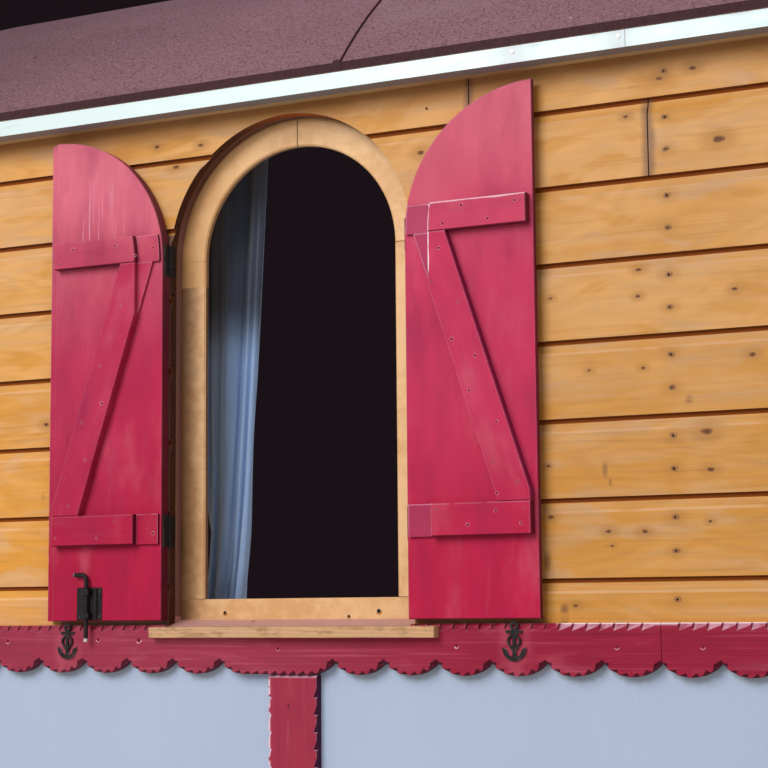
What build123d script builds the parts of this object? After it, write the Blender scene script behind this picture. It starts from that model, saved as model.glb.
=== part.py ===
"""Side-wall bay of a wooden living wagon: arched, shuttered window, boarded wall and barrel-roof eave.

Millimetres. X runs along the wall, Y into the wagon from the outer cladding face at y = 0, Z up.
The origin is on the underside of the sole plate, below the middle of the window.
"""
from build123d import *
import math
import os

os.makedirs("parts", exist_ok=True)

# Driving dimensions of the bay
half_width = 1000.0          # half the length of wall, window in the middle
wall_top = 1780.0            # top of the cladding, underside of the top plate
clad_thick = 22.0            # cladding, on the face of the studs
stud_deep = 50.0             # stud section, across the wall
stud_wide = 45.0             # stud section, along the wall
inner_board_thick = 10.0     # room-side matchboard

# Cladding: shiplap boards with a scooped upper edge
board_cover = 137.0
board_bottom = 722.0         # bottom of the lowest board
lap = 9.0
lip_thick = 7.5
scoop_high = 27.0
scoop_radius = 60.0
joint_gap = 0.5

# Window: half-round head on straight jambs
spring_z = 1483.0
recess_radius = 257.0        # cut in the cladding
recess_deep = 42.0           # cladding face to casing face
lining_thick = 18.0
casing_radius = 204.0        # clear opening
casing_thick = 12.0
opening_bottom = 831.0
sill_high = 792.0            # top of the sill at the casing
sill_low = 781.0             # top of the sill at the cladding face
sill_under = 769.0
room_radius = 235.0          # opening in the room-side boards
room_sill = 795.0
moving_gap = 5.0

# Frieze, sill strip and batten
frieze_top = 783.0
frieze_bottom = 693.0
frieze_thick = 20.0
cusp_z = 718.0
frieze_bevel = 4.0
frieze_joint_x = 716.0
scallop_pitch = 102.0
long_left, long_right = -133.0, 103.0    # the long scallop over the batten
strip_left, strip_right = -277.0, 312.0
strip_top, strip_bottom = 780.0, 759.0
strip_thick = 20.0
batten_left, batten_right = -33.0, 66.0
batten_thick = 18.0
batten_bevel = 5.0
panel_face = 4.0             # lower panel stands behind the cladding face
arris = 1.5                  # sharp edges of the joinery taken off

# Chip carving: each cut runs in at 45 degrees, from the face to the edge of the board
top_cut, scallop_cut, side_cut = 13.0, 7.0, 6.5      # height or width of the cut on the face
top_pitch, scallop_chips, side_pitch = 24.5, 6, 31.0

# Sole plate
sole_front = -10.0
sole_high = 45.0
sole_weather = 8.0           # fall of its front upper edge
bolt_hole_radius = 6.0
bolt_y = 47.0
bolt_places = (-880.0, -440.0, 440.0, 880.0)
nogging_low, nogging_high = 700.0, 745.0

# Barrel roof, a circle about a line along X
roof_centre_y, roof_centre_z = 1000.0, 878.0
roof_radius = 1410.0
felt_thick = 3.0
felt_seam_x, felt_lap = 148.0, 14.0      # the left sheet laps over the right one, to here
felt_lip = 1789.5                        # the sheets turn down over the eave to here
deck_thick = 9.0
deck_boards, deck_gap = 6, 0.6
bow_deep = 45.0
bow_wide = 32.0
eave_front = -62.0
purlin_front, purlin_back = 470.0, 520.0
purlin_high = 62.0

# Shutters, drawn open flat against the wall
hinge_x = 254.5
hinge_y = -2.5
shutter_bottom = 791.0
shutter_face = -27.0         # room-side face, outwards when open
shutter_back = -5.0
ledge_thick = 18.0
ledge_thin = 6.0             # where the ledges lie over the casing
free_gap = 8.0               # ledge ends short of the free edge
rebate_wide, rebate_deep = 18.0, 11.0    # the left shutter's tongue closes over the right one's
rebate_clear = 0.6           # between the two tongues
brace_foot, brace_wide = 438.0, 66.5     # where the brace stands on the bottom ledge
brace_slope = 0.332

# Butt hinges
knuckle_radius = 3.2
pin_radius = 1.5
pin_clear = 0.1
leaf_thick = 2.0
leaf_near = 4.0              # the leaf is full height from here outwards
outer_knuckles, middle_knuckle = ((0.0, 18.0), (42.0, 60.0)), ((18.5, 41.5),)
hinge_high = 60.0
leaf_deep = 18.0
hinge_z = (930.0, 1450.0)

stud_front = clad_thick
stud_back = clad_thick + stud_deep
room_face = stud_back + inner_board_thick
casing_back = recess_deep + casing_thick
lining_radius = recess_radius + lining_thick


def front(y):
    """Plane facing the viewer at depth y: its x is X and its y is Z."""
    return Plane.XZ.offset(-y)


def save(piece, label):
    piece.part.label = label
    export_step(piece.part, f"parts/{label}.step")


def block(x_span, y_span, z_span, mode=Mode.ADD):
    """Box between three pairs of coordinates, in the part that is open."""
    sizes = [abs(high - low) for low, high in (x_span, y_span, z_span)]
    with Locations((sum(x_span) / 2, sum(y_span) / 2, sum(z_span) / 2)):
        Box(*sizes, mode=mode)


def arched(y, depth, radius, bottom, mode=Mode.ADD, centre_x=0.0):
    """Half-round-headed slab from depth y inwards, in the part that is open."""
    with BuildSketch(front(y)) as outline:
        with Locations((centre_x, spring_z)):
            Circle(radius)
        with Locations((centre_x, (spring_z + bottom) / 2)):
            Rectangle(2 * radius, spring_z - bottom)
    extrude(outline.sketch, amount=-depth, mode=mode)


def roof_z(radius, y):
    """Height of the roof circle of this radius at depth y."""
    return roof_centre_z + math.sqrt(radius ** 2 - (y - roof_centre_y) ** 2)


# Timber frame
with BuildPart() as sole_plate:
    with BuildSketch(Plane.YZ.offset(-half_width)):
        with BuildLine():
            Polyline(
                (sole_front, 0), (stud_back, 0), (stud_back, sole_high), (panel_face, sole_high),
                (sole_front, sole_high - sole_weather), close=True)
        make_face()
    extrude(amount=2 * half_width)
    with Locations(*[(x, bolt_y, sole_high) for x in bolt_places]):
        Hole(bolt_hole_radius)
save(sole_plate, "sole_plate")

end_stud, mid_stud, window_stud = 977.5, 725.0, 297.5
stud_centres = (-end_stud, -mid_stud, -window_stud, window_stud, mid_stud, end_stud)
with BuildPart() as wall_studs:
    for x in stud_centres:
        block((x - stud_wide / 2, x + stud_wide / 2), (stud_front, stud_back), (sole_high, wall_top))
    block((-stud_wide / 2, stud_wide / 2), (stud_front, stud_back), (sole_high, sill_under - stud_wide))
save(wall_studs, "wall_studs")

bolt_x, bolt_rod_y = -421.0, -36.0
keep_x, keep_y = -2 * hinge_x - bolt_x, 2 * hinge_y - bolt_rod_y
keep_radius, keep_deep = 6.0, 28.0
with BuildPart() as rails:
    block((-lining_radius, lining_radius), (stud_front, stud_back), (sill_under - stud_wide, sill_under))
    for left, right in zip(stud_centres[:2], stud_centres[1:3]):
        span = (left + stud_wide / 2, right - stud_wide / 2)
        block(span, (stud_front, stud_back), (nogging_low, nogging_high))
        block((-span[1], -span[0]), (stud_front, stud_back), (nogging_low, nogging_high))
    with Locations((keep_x, keep_y, sill_under)):
        Hole(keep_radius, depth=keep_deep)
save(rails, "rails")

with BuildPart() as top_plate:
    block((-half_width, half_width), (stud_front, stud_back), (wall_top, wall_top + stud_deep))
save(top_plate, "top_plate")

def hinge_gains():
    """Shallow housings for the upper hinges where the head starts to curve, in the part that is open."""
    for side in (-1, 1):
        heights = (hinge_z[1] - 0.5, hinge_z[1] + hinge_high + 0.5)
        block((side * 250, side * recess_radius), (-1, leaf_deep + 0.5), heights, Mode.SUBTRACT)
        block((side * 250, side * (hinge_x + knuckle_radius + 0.3)), (-1, 1.2), heights, Mode.SUBTRACT)


# Cladding boards, bottom to top, with the butt joints of two of them
butt_joints = {6: 708.0, 7: 374.0}
butt_gap = 1.5
for course in range(8):
    z0 = board_bottom + course * board_cover
    scoop_z = z0 + board_cover - scoop_high
    joint_z = z0 + board_cover - 1
    with BuildPart() as board:
        with BuildSketch(Plane.YZ.offset(-half_width)):
            with BuildLine():
                Polyline((0, scoop_z), (0, z0), (lip_thick, z0), (lip_thick, z0 + lap + 2),
                         (clad_thick, z0 + lap + 2), (clad_thick, joint_z + lap),
                         (lip_thick + joint_gap, joint_z + lap), (lip_thick + joint_gap, joint_z))
                RadiusArc((lip_thick + joint_gap, joint_z), (0, scoop_z), scoop_radius)
            make_face()
        extrude(amount=2 * half_width)
        arched(-1, clad_thick + 2, recess_radius, sill_under, Mode.SUBTRACT)
        if z0 + board_cover > wall_top:
            block((-half_width, half_width), (0, clad_thick), (wall_top, z0 + 2 * board_cover), Mode.SUBTRACT)
        if course in butt_joints:
            joint = (butt_joints[course], butt_joints[course] + butt_gap)
            block(joint, (0, clad_thick), (z0, z0 + 2 * board_cover), Mode.SUBTRACT)
        if z0 < hinge_z[1] < z0 + board_cover:
            hinge_gains()
    save(board, f"board_{course + 1}")

with BuildPart() as lower_panel:
    block((-half_width, half_width), (panel_face, clad_thick), (sole_high, board_bottom))
save(lower_panel, "lower_panel")

def edge_cut(x, y, z, out_x, out_z):
    """Plane of a chip cut from a point on the face back at 45 degrees to the board's edge."""
    run = Vector(out_x, 1, out_z).normalized()
    up = Vector(out_x, -1, out_z).normalized()
    return Plane(origin=(x, y, z), x_dir=up.cross(run), z_dir=run)


def vee(steep, sloping, deep, reach):
    """V-shaped cutter lying along Z with its bottom at the origin, in the part that is open."""
    over = 1.15
    with BuildSketch(Plane.XY) as section:
        with BuildLine():
            Polyline((0, 0), (steep * over, deep * over), (sloping * over, deep * over), close=True)
        make_face()
    extrude(section.sketch, amount=reach, both=True)


# Cutters, each with a steep side and a sloping one
root_half = math.sqrt(0.5)
with BuildPart() as top_chip:
    vee(1.5, 1.0 - top_pitch, (top_cut - frieze_bevel) * root_half, 24)
with BuildPart() as scallop_chip:
    vee(5.0, -12.0, scallop_cut * root_half, 12)
with BuildPart() as side_chip:
    vee(-1.5, 17.0, side_cut * root_half, 12)

batten_face = panel_face - batten_thick
with BuildPart() as batten:
    block((batten_left, batten_right), (batten_face, panel_face), (sole_high, frieze_bottom - 1))
    chamfer(batten.edges().filter_by(Axis.X).group_by(Axis.Z)[-1].sort_by(Axis.Y)[0], batten_bevel)
    chip_rows = [frieze_bottom - 41 - side_pitch * n for n in range(19)]
    with Locations(*[edge_cut(batten_left + side_cut, batten_face, z, -1, 0) for z in chip_rows],
                   *[edge_cut(batten_right - side_cut, batten_face, z, 1, 0) for z in chip_rows]):
        add(side_chip.part, mode=Mode.SUBTRACT)
save(batten, "batten")

# Frieze: scallops hung between cusps, the long one with a straight stretch in it
cusps = ([long_left - scallop_pitch * n for n in reversed(range(10))]
         + [long_right + scallop_pitch * n for n in range(10)])
sag = cusp_z - frieze_bottom
half_pitch = scallop_pitch / 2
scallop_radius = (half_pitch ** 2 + sag ** 2) / (2 * sag)
scallop_sweep = math.asin(half_pitch / scallop_radius)


def scallop_point(left, right, turn, radius=scallop_radius):
    """Point on a scallop's round ends, at an angle from straight down."""
    centre = left + half_pitch if turn < 0 else right - half_pitch
    return (centre + radius * math.sin(turn), frieze_bottom + scallop_radius - radius * math.cos(turn))


def scallop_cuts(left, right):
    """Planes of the chips along one scallop and in the cusp at its right-hand end."""
    inner = scallop_radius - scallop_cut
    planes = []
    for n in range(scallop_chips):
        turn = scallop_sweep * ((2 * n + 1) / scallop_chips - 1)
        x, z = scallop_point(left, right, turn, inner)
        planes.append(edge_cut(x, -frieze_thick, z, math.sin(turn), -math.cos(turn)))
    straight = right - left - scallop_pitch
    count = round(straight * scallop_chips / (2 * scallop_sweep * scallop_radius))
    for n in range(count):
        x = left + half_pitch + straight * (n + 0.5) / count
        planes.append(edge_cut(x, -frieze_thick, frieze_bottom + scallop_cut, 0, -1))
    planes.append(edge_cut(right, -frieze_thick, cusp_z + scallop_cut - 3, 0, -1))
    return planes


for label, x_start, x_end in (("frieze_left", -half_width, frieze_joint_x - 0.5),
                              ("frieze_right", frieze_joint_x + 0.5, half_width)):
    hung = [(left, right) for left, right in zip(cusps, cusps[1:]) if right > x_start and left < x_end]
    with BuildPart() as frieze:
        with BuildSketch(front(0)):
            for left, right in hung:
                with BuildLine():
                    ThreePointArc(scallop_point(left, right, -scallop_sweep),
                                  scallop_point(left, right, -scallop_sweep / 2),
                                  (left + half_pitch, frieze_bottom))
                    if right - left > scallop_pitch:
                        Line((left + half_pitch, frieze_bottom), (right - half_pitch, frieze_bottom))
                    ThreePointArc((right - half_pitch, frieze_bottom),
                                  scallop_point(left, right, scallop_sweep / 2),
                                  scallop_point(left, right, scallop_sweep))
                    Polyline((right, cusp_z), (right, frieze_top), (left, frieze_top), (left, cusp_z))
                make_face()
            with Locations(((x_start + x_end) / 2, frieze_top)):
                Rectangle(x_end - x_start, 2 * (frieze_top - frieze_bottom) + 2, mode=Mode.INTERSECT)
        extrude(amount=frieze_thick)
        chamfer(frieze.edges().filter_by(Axis.X).group_by(Axis.Z)[-1].sort_by(Axis.Y)[0], frieze_bevel)
        block((0.5 - recess_radius, recess_radius - 0.5), (-frieze_thick, 0), (strip_top, frieze_top),
              Mode.SUBTRACT)
        first_cut = x_end - 1.35 * top_pitch
        tops = [first_cut - top_pitch * n for n in range(int((first_cut - x_start) / top_pitch))]
        with Locations(*[edge_cut(x, -frieze_thick, frieze_top - top_cut, 0, 1)
                         for x in tops if abs(x + top_pitch / 2) > recess_radius + top_pitch / 2]):
            add(top_chip.part, mode=Mode.SUBTRACT)
        with Locations(*[plane for ends in hung for plane in scallop_cuts(*ends)]):
            add(scallop_chip.part, mode=Mode.SUBTRACT)
    save(frieze, label)

with BuildPart() as sill_strip:
    with BuildSketch(Plane.YZ.offset(strip_left)):
        with BuildLine():
            Polyline((-frieze_thick, strip_bottom), (-frieze_thick, strip_top),
                     (-frieze_thick - strip_thick, strip_top - 1),
                     (-frieze_thick - strip_thick, strip_bottom), close=True)
        make_face()
    extrude(amount=strip_right - strip_left)
    fillet(sill_strip.edges().group_by(Axis.Y)[0], 2)
save(sill_strip, "sill_strip")

# Window sill, lining and casing
with BuildPart() as window_sill:
    with BuildSketch(Plane.YZ.offset(-recess_radius + 0.3)):
        with BuildLine():
            Polyline((0, sill_under), (0, sill_low), (recess_deep, sill_high), (casing_back, sill_high),
                     (casing_back, sill_under), close=True)
        make_face()
    extrude(amount=2 * recess_radius - 0.6)
    with Locations((keep_x, keep_y, sill_high + 5)):
        Hole(keep_radius)
save(window_sill, "window_sill")

with BuildPart() as window_lining:
    arched(clad_thick, recess_deep - clad_thick, lining_radius, sill_under)
    arched(clad_thick, recess_deep - clad_thick, recess_radius, sill_under, Mode.SUBTRACT)
save(window_lining, "window_lining")

with BuildPart() as casing_jambs:
    for side in (-1, 1):
        edges_x = sorted((side * casing_radius, side * lining_radius))
        block(edges_x, (recess_deep, casing_back), (opening_bottom, spring_z - 0.3))
    front_edges = casing_jambs.edges().filter_by(Axis.Z).group_by(Axis.Y)[0]
    chamfer([edge for edge in front_edges if abs(edge.center().X) < recess_radius], 2 * arris)
save(casing_jambs, "casing_jambs")

crown_joint = 1.0            # the arch is in two halves
with BuildPart() as casing_arch:
    with BuildSketch(front(recess_deep)):
        with Locations((0, spring_z)):
            Circle(lining_radius)
            Circle(casing_radius, mode=Mode.SUBTRACT)
        with Locations((0, spring_z - lining_radius)):
            Rectangle(2 * lining_radius, 2 * lining_radius, mode=Mode.SUBTRACT)
        with Locations((0, spring_z + lining_radius)):
            Rectangle(crown_joint, 2 * lining_radius, mode=Mode.SUBTRACT)
    extrude(amount=-casing_thick)
    front_edges = casing_arch.edges().filter_by(GeomType.CIRCLE).group_by(Axis.Y)[0]
    chamfer([edge for edge in front_edges if edge.radius < recess_radius], 2 * arris)
save(casing_arch, "casing_arch")

with BuildPart() as casing_rail:
    block((-lining_radius, lining_radius), (recess_deep, casing_back), (sill_high, opening_bottom - 0.3))
save(casing_rail, "casing_rail")

# Room side
with BuildPart() as inner_reveal:
    arched(casing_back, room_face - casing_back, room_radius + 12, room_sill)
    arched(casing_back, room_face - casing_back, room_radius, room_sill, Mode.SUBTRACT)
save(inner_reveal, "inner_reveal")

with BuildPart() as inner_sill:
    block((-room_radius - 30, room_radius + 30), (casing_back, room_face + 24), (room_sill - 14, room_sill))
save(inner_sill, "inner_sill")

reveal_out = room_radius + 12.3
with BuildPart() as inner_boards_low:
    block((-half_width, half_width), (stud_back, room_face), (sole_high, room_sill - 14.3))
save(inner_boards_low, "inner_boards_low")
with BuildPart() as inner_boards_sides:
    for side in (-1, 1):
        block(sorted((side * (room_radius + 30.3), side * half_width)), (stud_back, room_face),
              (room_sill - 14, spring_z))
        block(sorted((side * reveal_out, side * (room_radius + 30.3))), (stud_back, room_face),
              (room_sill + 0.3, spring_z))
save(inner_boards_sides, "inner_boards_sides")
with BuildPart() as inner_boards_top:
    block((-half_width, half_width), (stud_back, room_face), (spring_z + 0.3, wall_top + stud_deep))
    arched(stud_back - 1, inner_board_thick + 2, reveal_out, room_sill, Mode.SUBTRACT)
save(inner_boards_top, "inner_boards_top")

# Roof: felt on deck on bows, purlin at the upper edge
def roof_shell(r_out, r_in, y_front, y_back, x_span):
    """Ring sector of the barrel roof, in the part that is open."""
    with BuildSketch(Plane.YZ.offset(x_span[0])) as section:
        with BuildLine():
            outer = ThreePointArc((y_front, roof_z(r_out, y_front)),
                                  ((y_front + y_back) / 2, roof_z(r_out, (y_front + y_back) / 2)),
                                  (y_back, roof_z(r_out, y_back)))
            inner = ThreePointArc((y_front, roof_z(r_in, y_front)),
                                  ((y_front + y_back) / 2, roof_z(r_in, (y_front + y_back) / 2)),
                                  (y_back, roof_z(r_in, y_back)))
            Line(outer @ 0, inner @ 0)
            Line(outer @ 1, inner @ 1)
        make_face()
    extrude(section.sketch, amount=x_span[1] - x_span[0])


deck_out = roof_radius - felt_thick
deck_in = deck_out - deck_thick
bow_in = deck_in - bow_deep
roof_span = (-half_width, half_width)
soffit_top = wall_top - 8.0
bow_centres = (-984.0, -492.0, 0.0, 492.0, 984.0)

lap_start = felt_seam_x - felt_lap
lip_back = eave_front + felt_thick
for label, x_start, x_end in (("roof_felt_left", -half_width, lap_start),
                              ("roof_felt_right", lap_start, half_width)):
    with BuildPart() as felt:
        roof_shell(roof_radius, deck_out, eave_front, purlin_back, (x_start, x_end))
        block((x_start, x_end), (eave_front, lip_back), (felt_lip, roof_z(deck_out, lip_back)))
        if x_end == lap_start:
            lapped = (lap_start - felt_thick, felt_seam_x)
            roof_shell(roof_radius + felt_thick, roof_radius, eave_front, purlin_back, lapped)
    save(felt, label)
# Deck boards of equal width round the roof, from the eave up to the purlin's back
deck_from = math.asin((roof_centre_y - eave_front - felt_thick) / deck_out)
deck_to = math.asin((roof_centre_y - purlin_back) / deck_out)
deck_turns = [deck_from + (deck_to - deck_from) * n / deck_boards for n in range(deck_boards + 1)]
deck_edges = [roof_centre_y - deck_out * math.sin(turn) for turn in deck_turns]
with BuildPart() as roof_deck:
    for near, far in zip(deck_edges, deck_edges[1:]):
        roof_shell(deck_out, deck_in, near, far - deck_gap, roof_span)
save(roof_deck, "roof_deck")

with BuildPart() as bows:
    for x in bow_centres:
        roof_shell(deck_in, bow_in, eave_front + 26, purlin_front, (x - bow_wide / 2, x + bow_wide / 2))
    block(roof_span, (stud_front, stud_back), (wall_top - 100, wall_top + stud_deep), Mode.SUBTRACT)
    block(roof_span, (eave_front, 0), (soffit_top - 100, soffit_top), Mode.SUBTRACT)
save(bows, "bows")

with BuildPart() as purlin:
    roof_shell(deck_in, deck_in - purlin_high, purlin_front, purlin_back, roof_span)
save(purlin, "purlin")

fascia_front, fascia_back = -58.0, -36.0
drip_top, drip_bottom = 1788.0, 1757.5
fascia_bottom = drip_bottom + 1.5
with BuildPart() as fascia:
    with BuildSketch(Plane.YZ.offset(-half_width)):
        with BuildLine():
            Polyline((fascia_front, fascia_bottom), (fascia_back, fascia_bottom),
                     (fascia_back, roof_z(deck_in, fascia_back)),
                     (fascia_front, roof_z(deck_in, fascia_front)), close=True)
        make_face()
    extrude(amount=2 * half_width)
save(fascia, "fascia")

with BuildPart() as soffit:
    block((-half_width, half_width), (fascia_back, 0), (fascia_bottom, soffit_top))
save(soffit, "soffit")

drip_thick = 1.5
drip_joint_x = 692.0
for label, x_start, x_end in (("drip_left", -half_width, drip_joint_x - 0.5),
                              ("drip_right", drip_joint_x + 0.5, half_width)):
    with BuildPart() as drip:
        with BuildSketch(Plane.YZ.offset(x_start)):
            with BuildLine():
                Polyline((fascia_front, drip_top), (fascia_front - drip_thick, drip_top),
                         (fascia_front - drip_thick, drip_bottom), (-25, drip_bottom),
                         (-25, fascia_bottom), (fascia_front, fascia_bottom), close=True)
            make_face()
        extrude(amount=x_end - x_start)
    save(drip, label)

# Filler boards between the bows, from the top plate up to the deck
filler_front, filler_back = 40.0, 52.0
filler_foot = wall_top + stud_deep
with BuildPart() as eaves_filler:
    for left, right in zip(bow_centres, bow_centres[1:]):
        with BuildSketch(Plane.YZ.offset(left + bow_wide / 2)):
            with BuildLine():
                Polyline((filler_front, filler_foot), (filler_back, filler_foot),
                         (filler_back, roof_z(deck_in, filler_back)),
                         (filler_front, roof_z(deck_in, filler_front)), close=True)
            make_face()
        extrude(amount=right - left - bow_wide)
save(eaves_filler, "eaves_filler")

# Curtain rod on two brackets, with the gathered curtain
rod_y, rod_z, rod_half = 140.0, 1745.0, 320.0
curtain_rod_radius = 6.0
bracket_x, bracket_half = 300.0, 6.0
curtain_left, curtain_right, curtain_half, curtain_hem = -290.0, -110.0, 25.0, 700.0
with BuildPart() as curtain_rod:
    with BuildSketch(Plane.YZ.offset(-rod_half)):
        with Locations((rod_y, rod_z)):
            Circle(curtain_rod_radius)
    extrude(amount=2 * rod_half)
save(curtain_rod, "curtain_rod")
with BuildPart() as rod_brackets:
    for x in (-bracket_x, bracket_x):
        across = (x - bracket_half, x + bracket_half)
        block(across, (room_face, room_face + 4), (rod_z - 25, rod_z + 25))
        block(across, (room_face, rod_y + 8), (rod_z - 2 * curtain_rod_radius, rod_z - curtain_rod_radius))
save(rod_brackets, "rod_brackets")
with BuildPart() as curtain:
    block((curtain_left, curtain_right), (rod_y - curtain_half, rod_y + curtain_half),
          (curtain_hem, rod_z - 2 * curtain_rod_radius - 0.2))
save(curtain, "curtain")


# Shutters, both open; side is -1 on the left and 1 on the right
def shutter_outline(side, plane_y, depth, radius, bottom, free_edge, mode=Mode.ADD):
    """Quarter-round-headed board on one side, in the part that is open."""
    centre = side * 2 * hinge_x
    with BuildSketch(front(plane_y)) as outline:
        with Locations((centre, spring_z)):
            Circle(radius)
        with Locations((centre, (spring_z + bottom) / 2)):
            Rectangle(2 * radius, spring_z - bottom)
        with Locations((side * (free_edge + 500), spring_z)):
            Rectangle(1000, 2000, mode=Mode.SUBTRACT)
    extrude(outline.sketch, amount=-depth, mode=mode)


panel_radius = recess_radius - moving_gap
thick_radius = casing_radius - moving_gap
free_edge = 2 * hinge_x - moving_gap / 2
ledge_face = shutter_face - ledge_thick
# Ledges: lower edge, upper edge
ledge_rows = ((935.0, 992.0), (1477.0, 1529.0))
template_low = 850.0

# Meeting edge: end of the board and the spans of the rebate across and through it
tongue_end = free_edge + rebate_wide
rebate_front = shutter_face + rebate_deep
meeting = {-1: (tongue_end, (-tongue_end, -free_edge), (shutter_face, rebate_front)),
           1: (free_edge, (free_edge - rebate_wide, free_edge), (rebate_front - rebate_clear, shutter_back))}

for side, name in ((-1, "left"), (1, "right")):
    board_end, rebate_x, rebate_y = meeting[side]
    with BuildPart() as panel:
        shutter_outline(side, shutter_face, shutter_back - shutter_face, panel_radius,
                        shutter_bottom, board_end)
        block(rebate_x, rebate_y, (0, 2 * spring_z), Mode.SUBTRACT)
        chamfer(panel.edges().group_by(Axis.Y)[0], arris)
    save(panel, f"{name}_shutter")

    with BuildPart() as thick:
        shutter_outline(side, ledge_face, ledge_thick, thick_radius, template_low, free_edge - free_gap)
    with BuildPart() as thin:
        shutter_outline(side, shutter_face - ledge_thin, ledge_thin, panel_radius - moving_gap,
                        template_low, free_edge - free_gap)
    template = thick.part + thin.part

    with BuildPart() as ledges:
        for low, high in ledge_rows:
            block(sorted((side * hinge_x, side * free_edge)), (ledge_face - 1, shutter_face), (low, high))
        add(template, mode=Mode.INTERSECT)
        chamfer(ledges.edges().group_by(Axis.Y)[0], arris)
    save(ledges, f"{name}_ledges")

    low_z, high_z = ledge_rows[0][1] + 0.3, ledge_rows[1][0] - 0.3
    foot, wide = side * brace_foot, side * brace_wide
    lean = side * brace_slope * (high_z - low_z)
    with BuildPart() as brace:
        with BuildSketch(front(shutter_face)):
            with BuildLine():
                Polyline((foot, low_z), (foot + wide, low_z), (foot + wide - lean, high_z),
                         (foot - lean, high_z), close=True)
            make_face()
        extrude(amount=ledge_thick)
        add(template, mode=Mode.INTERSECT)
        chamfer(brace.edges().group_by(Axis.Y)[0], arris)
    save(brace, f"{name}_brace")

    # Butt hinges: wall leaves carry the outer knuckles and the pin
    def leaf(x_plane, y_near, y_far, low, parts, bore):
        """Plate with knuckles over the given height ranges, in the part that is open."""
        across = sorted((x_plane, x_plane + side * leaf_thick))
        block(across, sorted((y_near, y_far)), (low, low + hinge_high))
        for z_low, z_high in parts:
            block(across, sorted((hinge_y, y_near)), (low + z_low, low + z_high))
            with Locations((side * hinge_x, hinge_y, low + (z_low + z_high) / 2)):
                Cylinder(knuckle_radius, z_high - z_low)
                Cylinder(bore, z_high - z_low, mode=Mode.SUBTRACT)

    leaf_x = side * (recess_radius - leaf_thick)
    with BuildPart() as wall_leaves:
        for low in hinge_z:
            leaf(leaf_x, hinge_y + leaf_near, leaf_deep, low, outer_knuckles, pin_radius)
            with Locations((side * hinge_x, hinge_y, low + hinge_high / 2)):
                Cylinder(pin_radius, hinge_high)
    save(wall_leaves, f"{name}_hinge_wall")
    with BuildPart() as shutter_leaves:
        for low in hinge_z:
            leaf(leaf_x, hinge_y - leaf_near, 2 * hinge_y - leaf_deep, low, middle_knuckle,
                 pin_radius + pin_clear)
    save(shutter_leaves, f"{name}_hinge_shutter")

# Drop bolt on the left shutter
plate_left, plate_right, plate_low, plate_high = -448.0, -390.0, 793.0, 855.0
plate_face = shutter_face - 2.0
rod_radius, rod_tip, rod_top, rod_bend = 4.2, 752.0, 879.0, 10.0
handle_end = -449.0
staple_wide, staple_high, staple_clear = 18.0, 10.0, 0.4
with BuildPart() as bolt_plate:
    block((plate_left, plate_right), (plate_face, shutter_face), (plate_low, plate_high))
    chamfer(bolt_plate.edges().group_by(Axis.Y)[0], 1.0)
    for z in (plate_low + 9, plate_high - 9):
        block((bolt_x - staple_wide / 2, bolt_x + staple_wide / 2), (bolt_rod_y - 6.5, plate_face),
              (z - staple_high / 2, z + staple_high / 2))
        with Locations((bolt_x, bolt_rod_y, z)):
            Cylinder(rod_radius + staple_clear, staple_high, mode=Mode.SUBTRACT)
    # Rolled stiffening rib beside the rod
    with BuildSketch(Plane.XY.offset(plate_low + 2)):
        with Locations((plate_right - 14, plate_face)):
            Circle(5)
        with Locations((plate_right - 14, plate_face + 6)):
            Rectangle(12, 12, mode=Mode.SUBTRACT)
    extrude(amount=plate_high - plate_low - 4)
save(bolt_plate, "bolt_plate")

with BuildPart() as bolt_rod:
    with BuildLine() as rod_path:
        FilletPolyline((bolt_x, bolt_rod_y, rod_tip), (bolt_x, bolt_rod_y, rod_top),
                       (handle_end, bolt_rod_y, rod_top), radius=rod_bend)
    with BuildSketch(Plane.XY.offset(rod_tip)):
        with Locations((bolt_x, bolt_rod_y)):
            Circle(rod_radius)
    sweep(path=rod_path.line)
save(bolt_rod, "bolt_rod")

# Anchor-shaped shutter catches on the frieze, each with its rope curling down the shank
catch_top, catch_high, catch_thick = 786.0, 68.0, 4.0
ring_radius, ring_hole = 7.5, 3.6
stock_z, stock_half, stock_high = catch_top - 17.0, 15.0, 5.0
fluke_half, fluke_in, fluke_z = 21.5, 13.5, catch_top - 44.0
crown_z = catch_top - catch_high
crown_high = 6.0
shank_top, shank_foot = 2.4, 3.6         # half widths
shank_head = catch_top - 2 * ring_radius + 3
rope_wide, rope_thick = 3.0, 5.0
# Turns of the rope: out from the middle of the shank, down from the stock
rope_bends = ((1.5, 3.0), (10.5, 12.0), (11.0, 19.0), (3.0, 31.0))
for name, x in (("catch_left", -473.0), ("catch_right", 455.0)):
    with BuildPart() as catch:
        with BuildSketch(front(-frieze_thick)):
            with BuildLine():
                Polyline((x - shank_top, shank_head), (x + shank_top, shank_head),
                         (x + shank_foot, crown_z + 4), (x, crown_z), (x - shank_foot, crown_z + 4),
                         close=True)
            make_face()
            with Locations((x, catch_top - ring_radius)):
                Circle(ring_radius)
                Circle(ring_hole, mode=Mode.SUBTRACT)
            with Locations((x, stock_z)):
                Rectangle(2 * stock_half, stock_high)
            with BuildLine():
                outer = ThreePointArc((x - fluke_half, fluke_z), (x, crown_z + 1), (x + fluke_half, fluke_z))
                inner = ThreePointArc((x + fluke_in, fluke_z - 4), (x, crown_z + 1 + crown_high),
                                      (x - fluke_in, fluke_z - 4))
                Line(outer @ 1, inner @ 0)
                Line(inner @ 1, outer @ 0)
            make_face()
        extrude(amount=catch_thick)
        with BuildSketch(front(-frieze_thick)) as rope:
            for side in (-1, 1):
                with BuildLine():
                    Polyline(*[(x + side * out, stock_z - down) for out, down in rope_bends])
                trace(line_width=rope_wide)
        extrude(rope.sketch, amount=rope_thick)
    save(catch, name)
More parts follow.
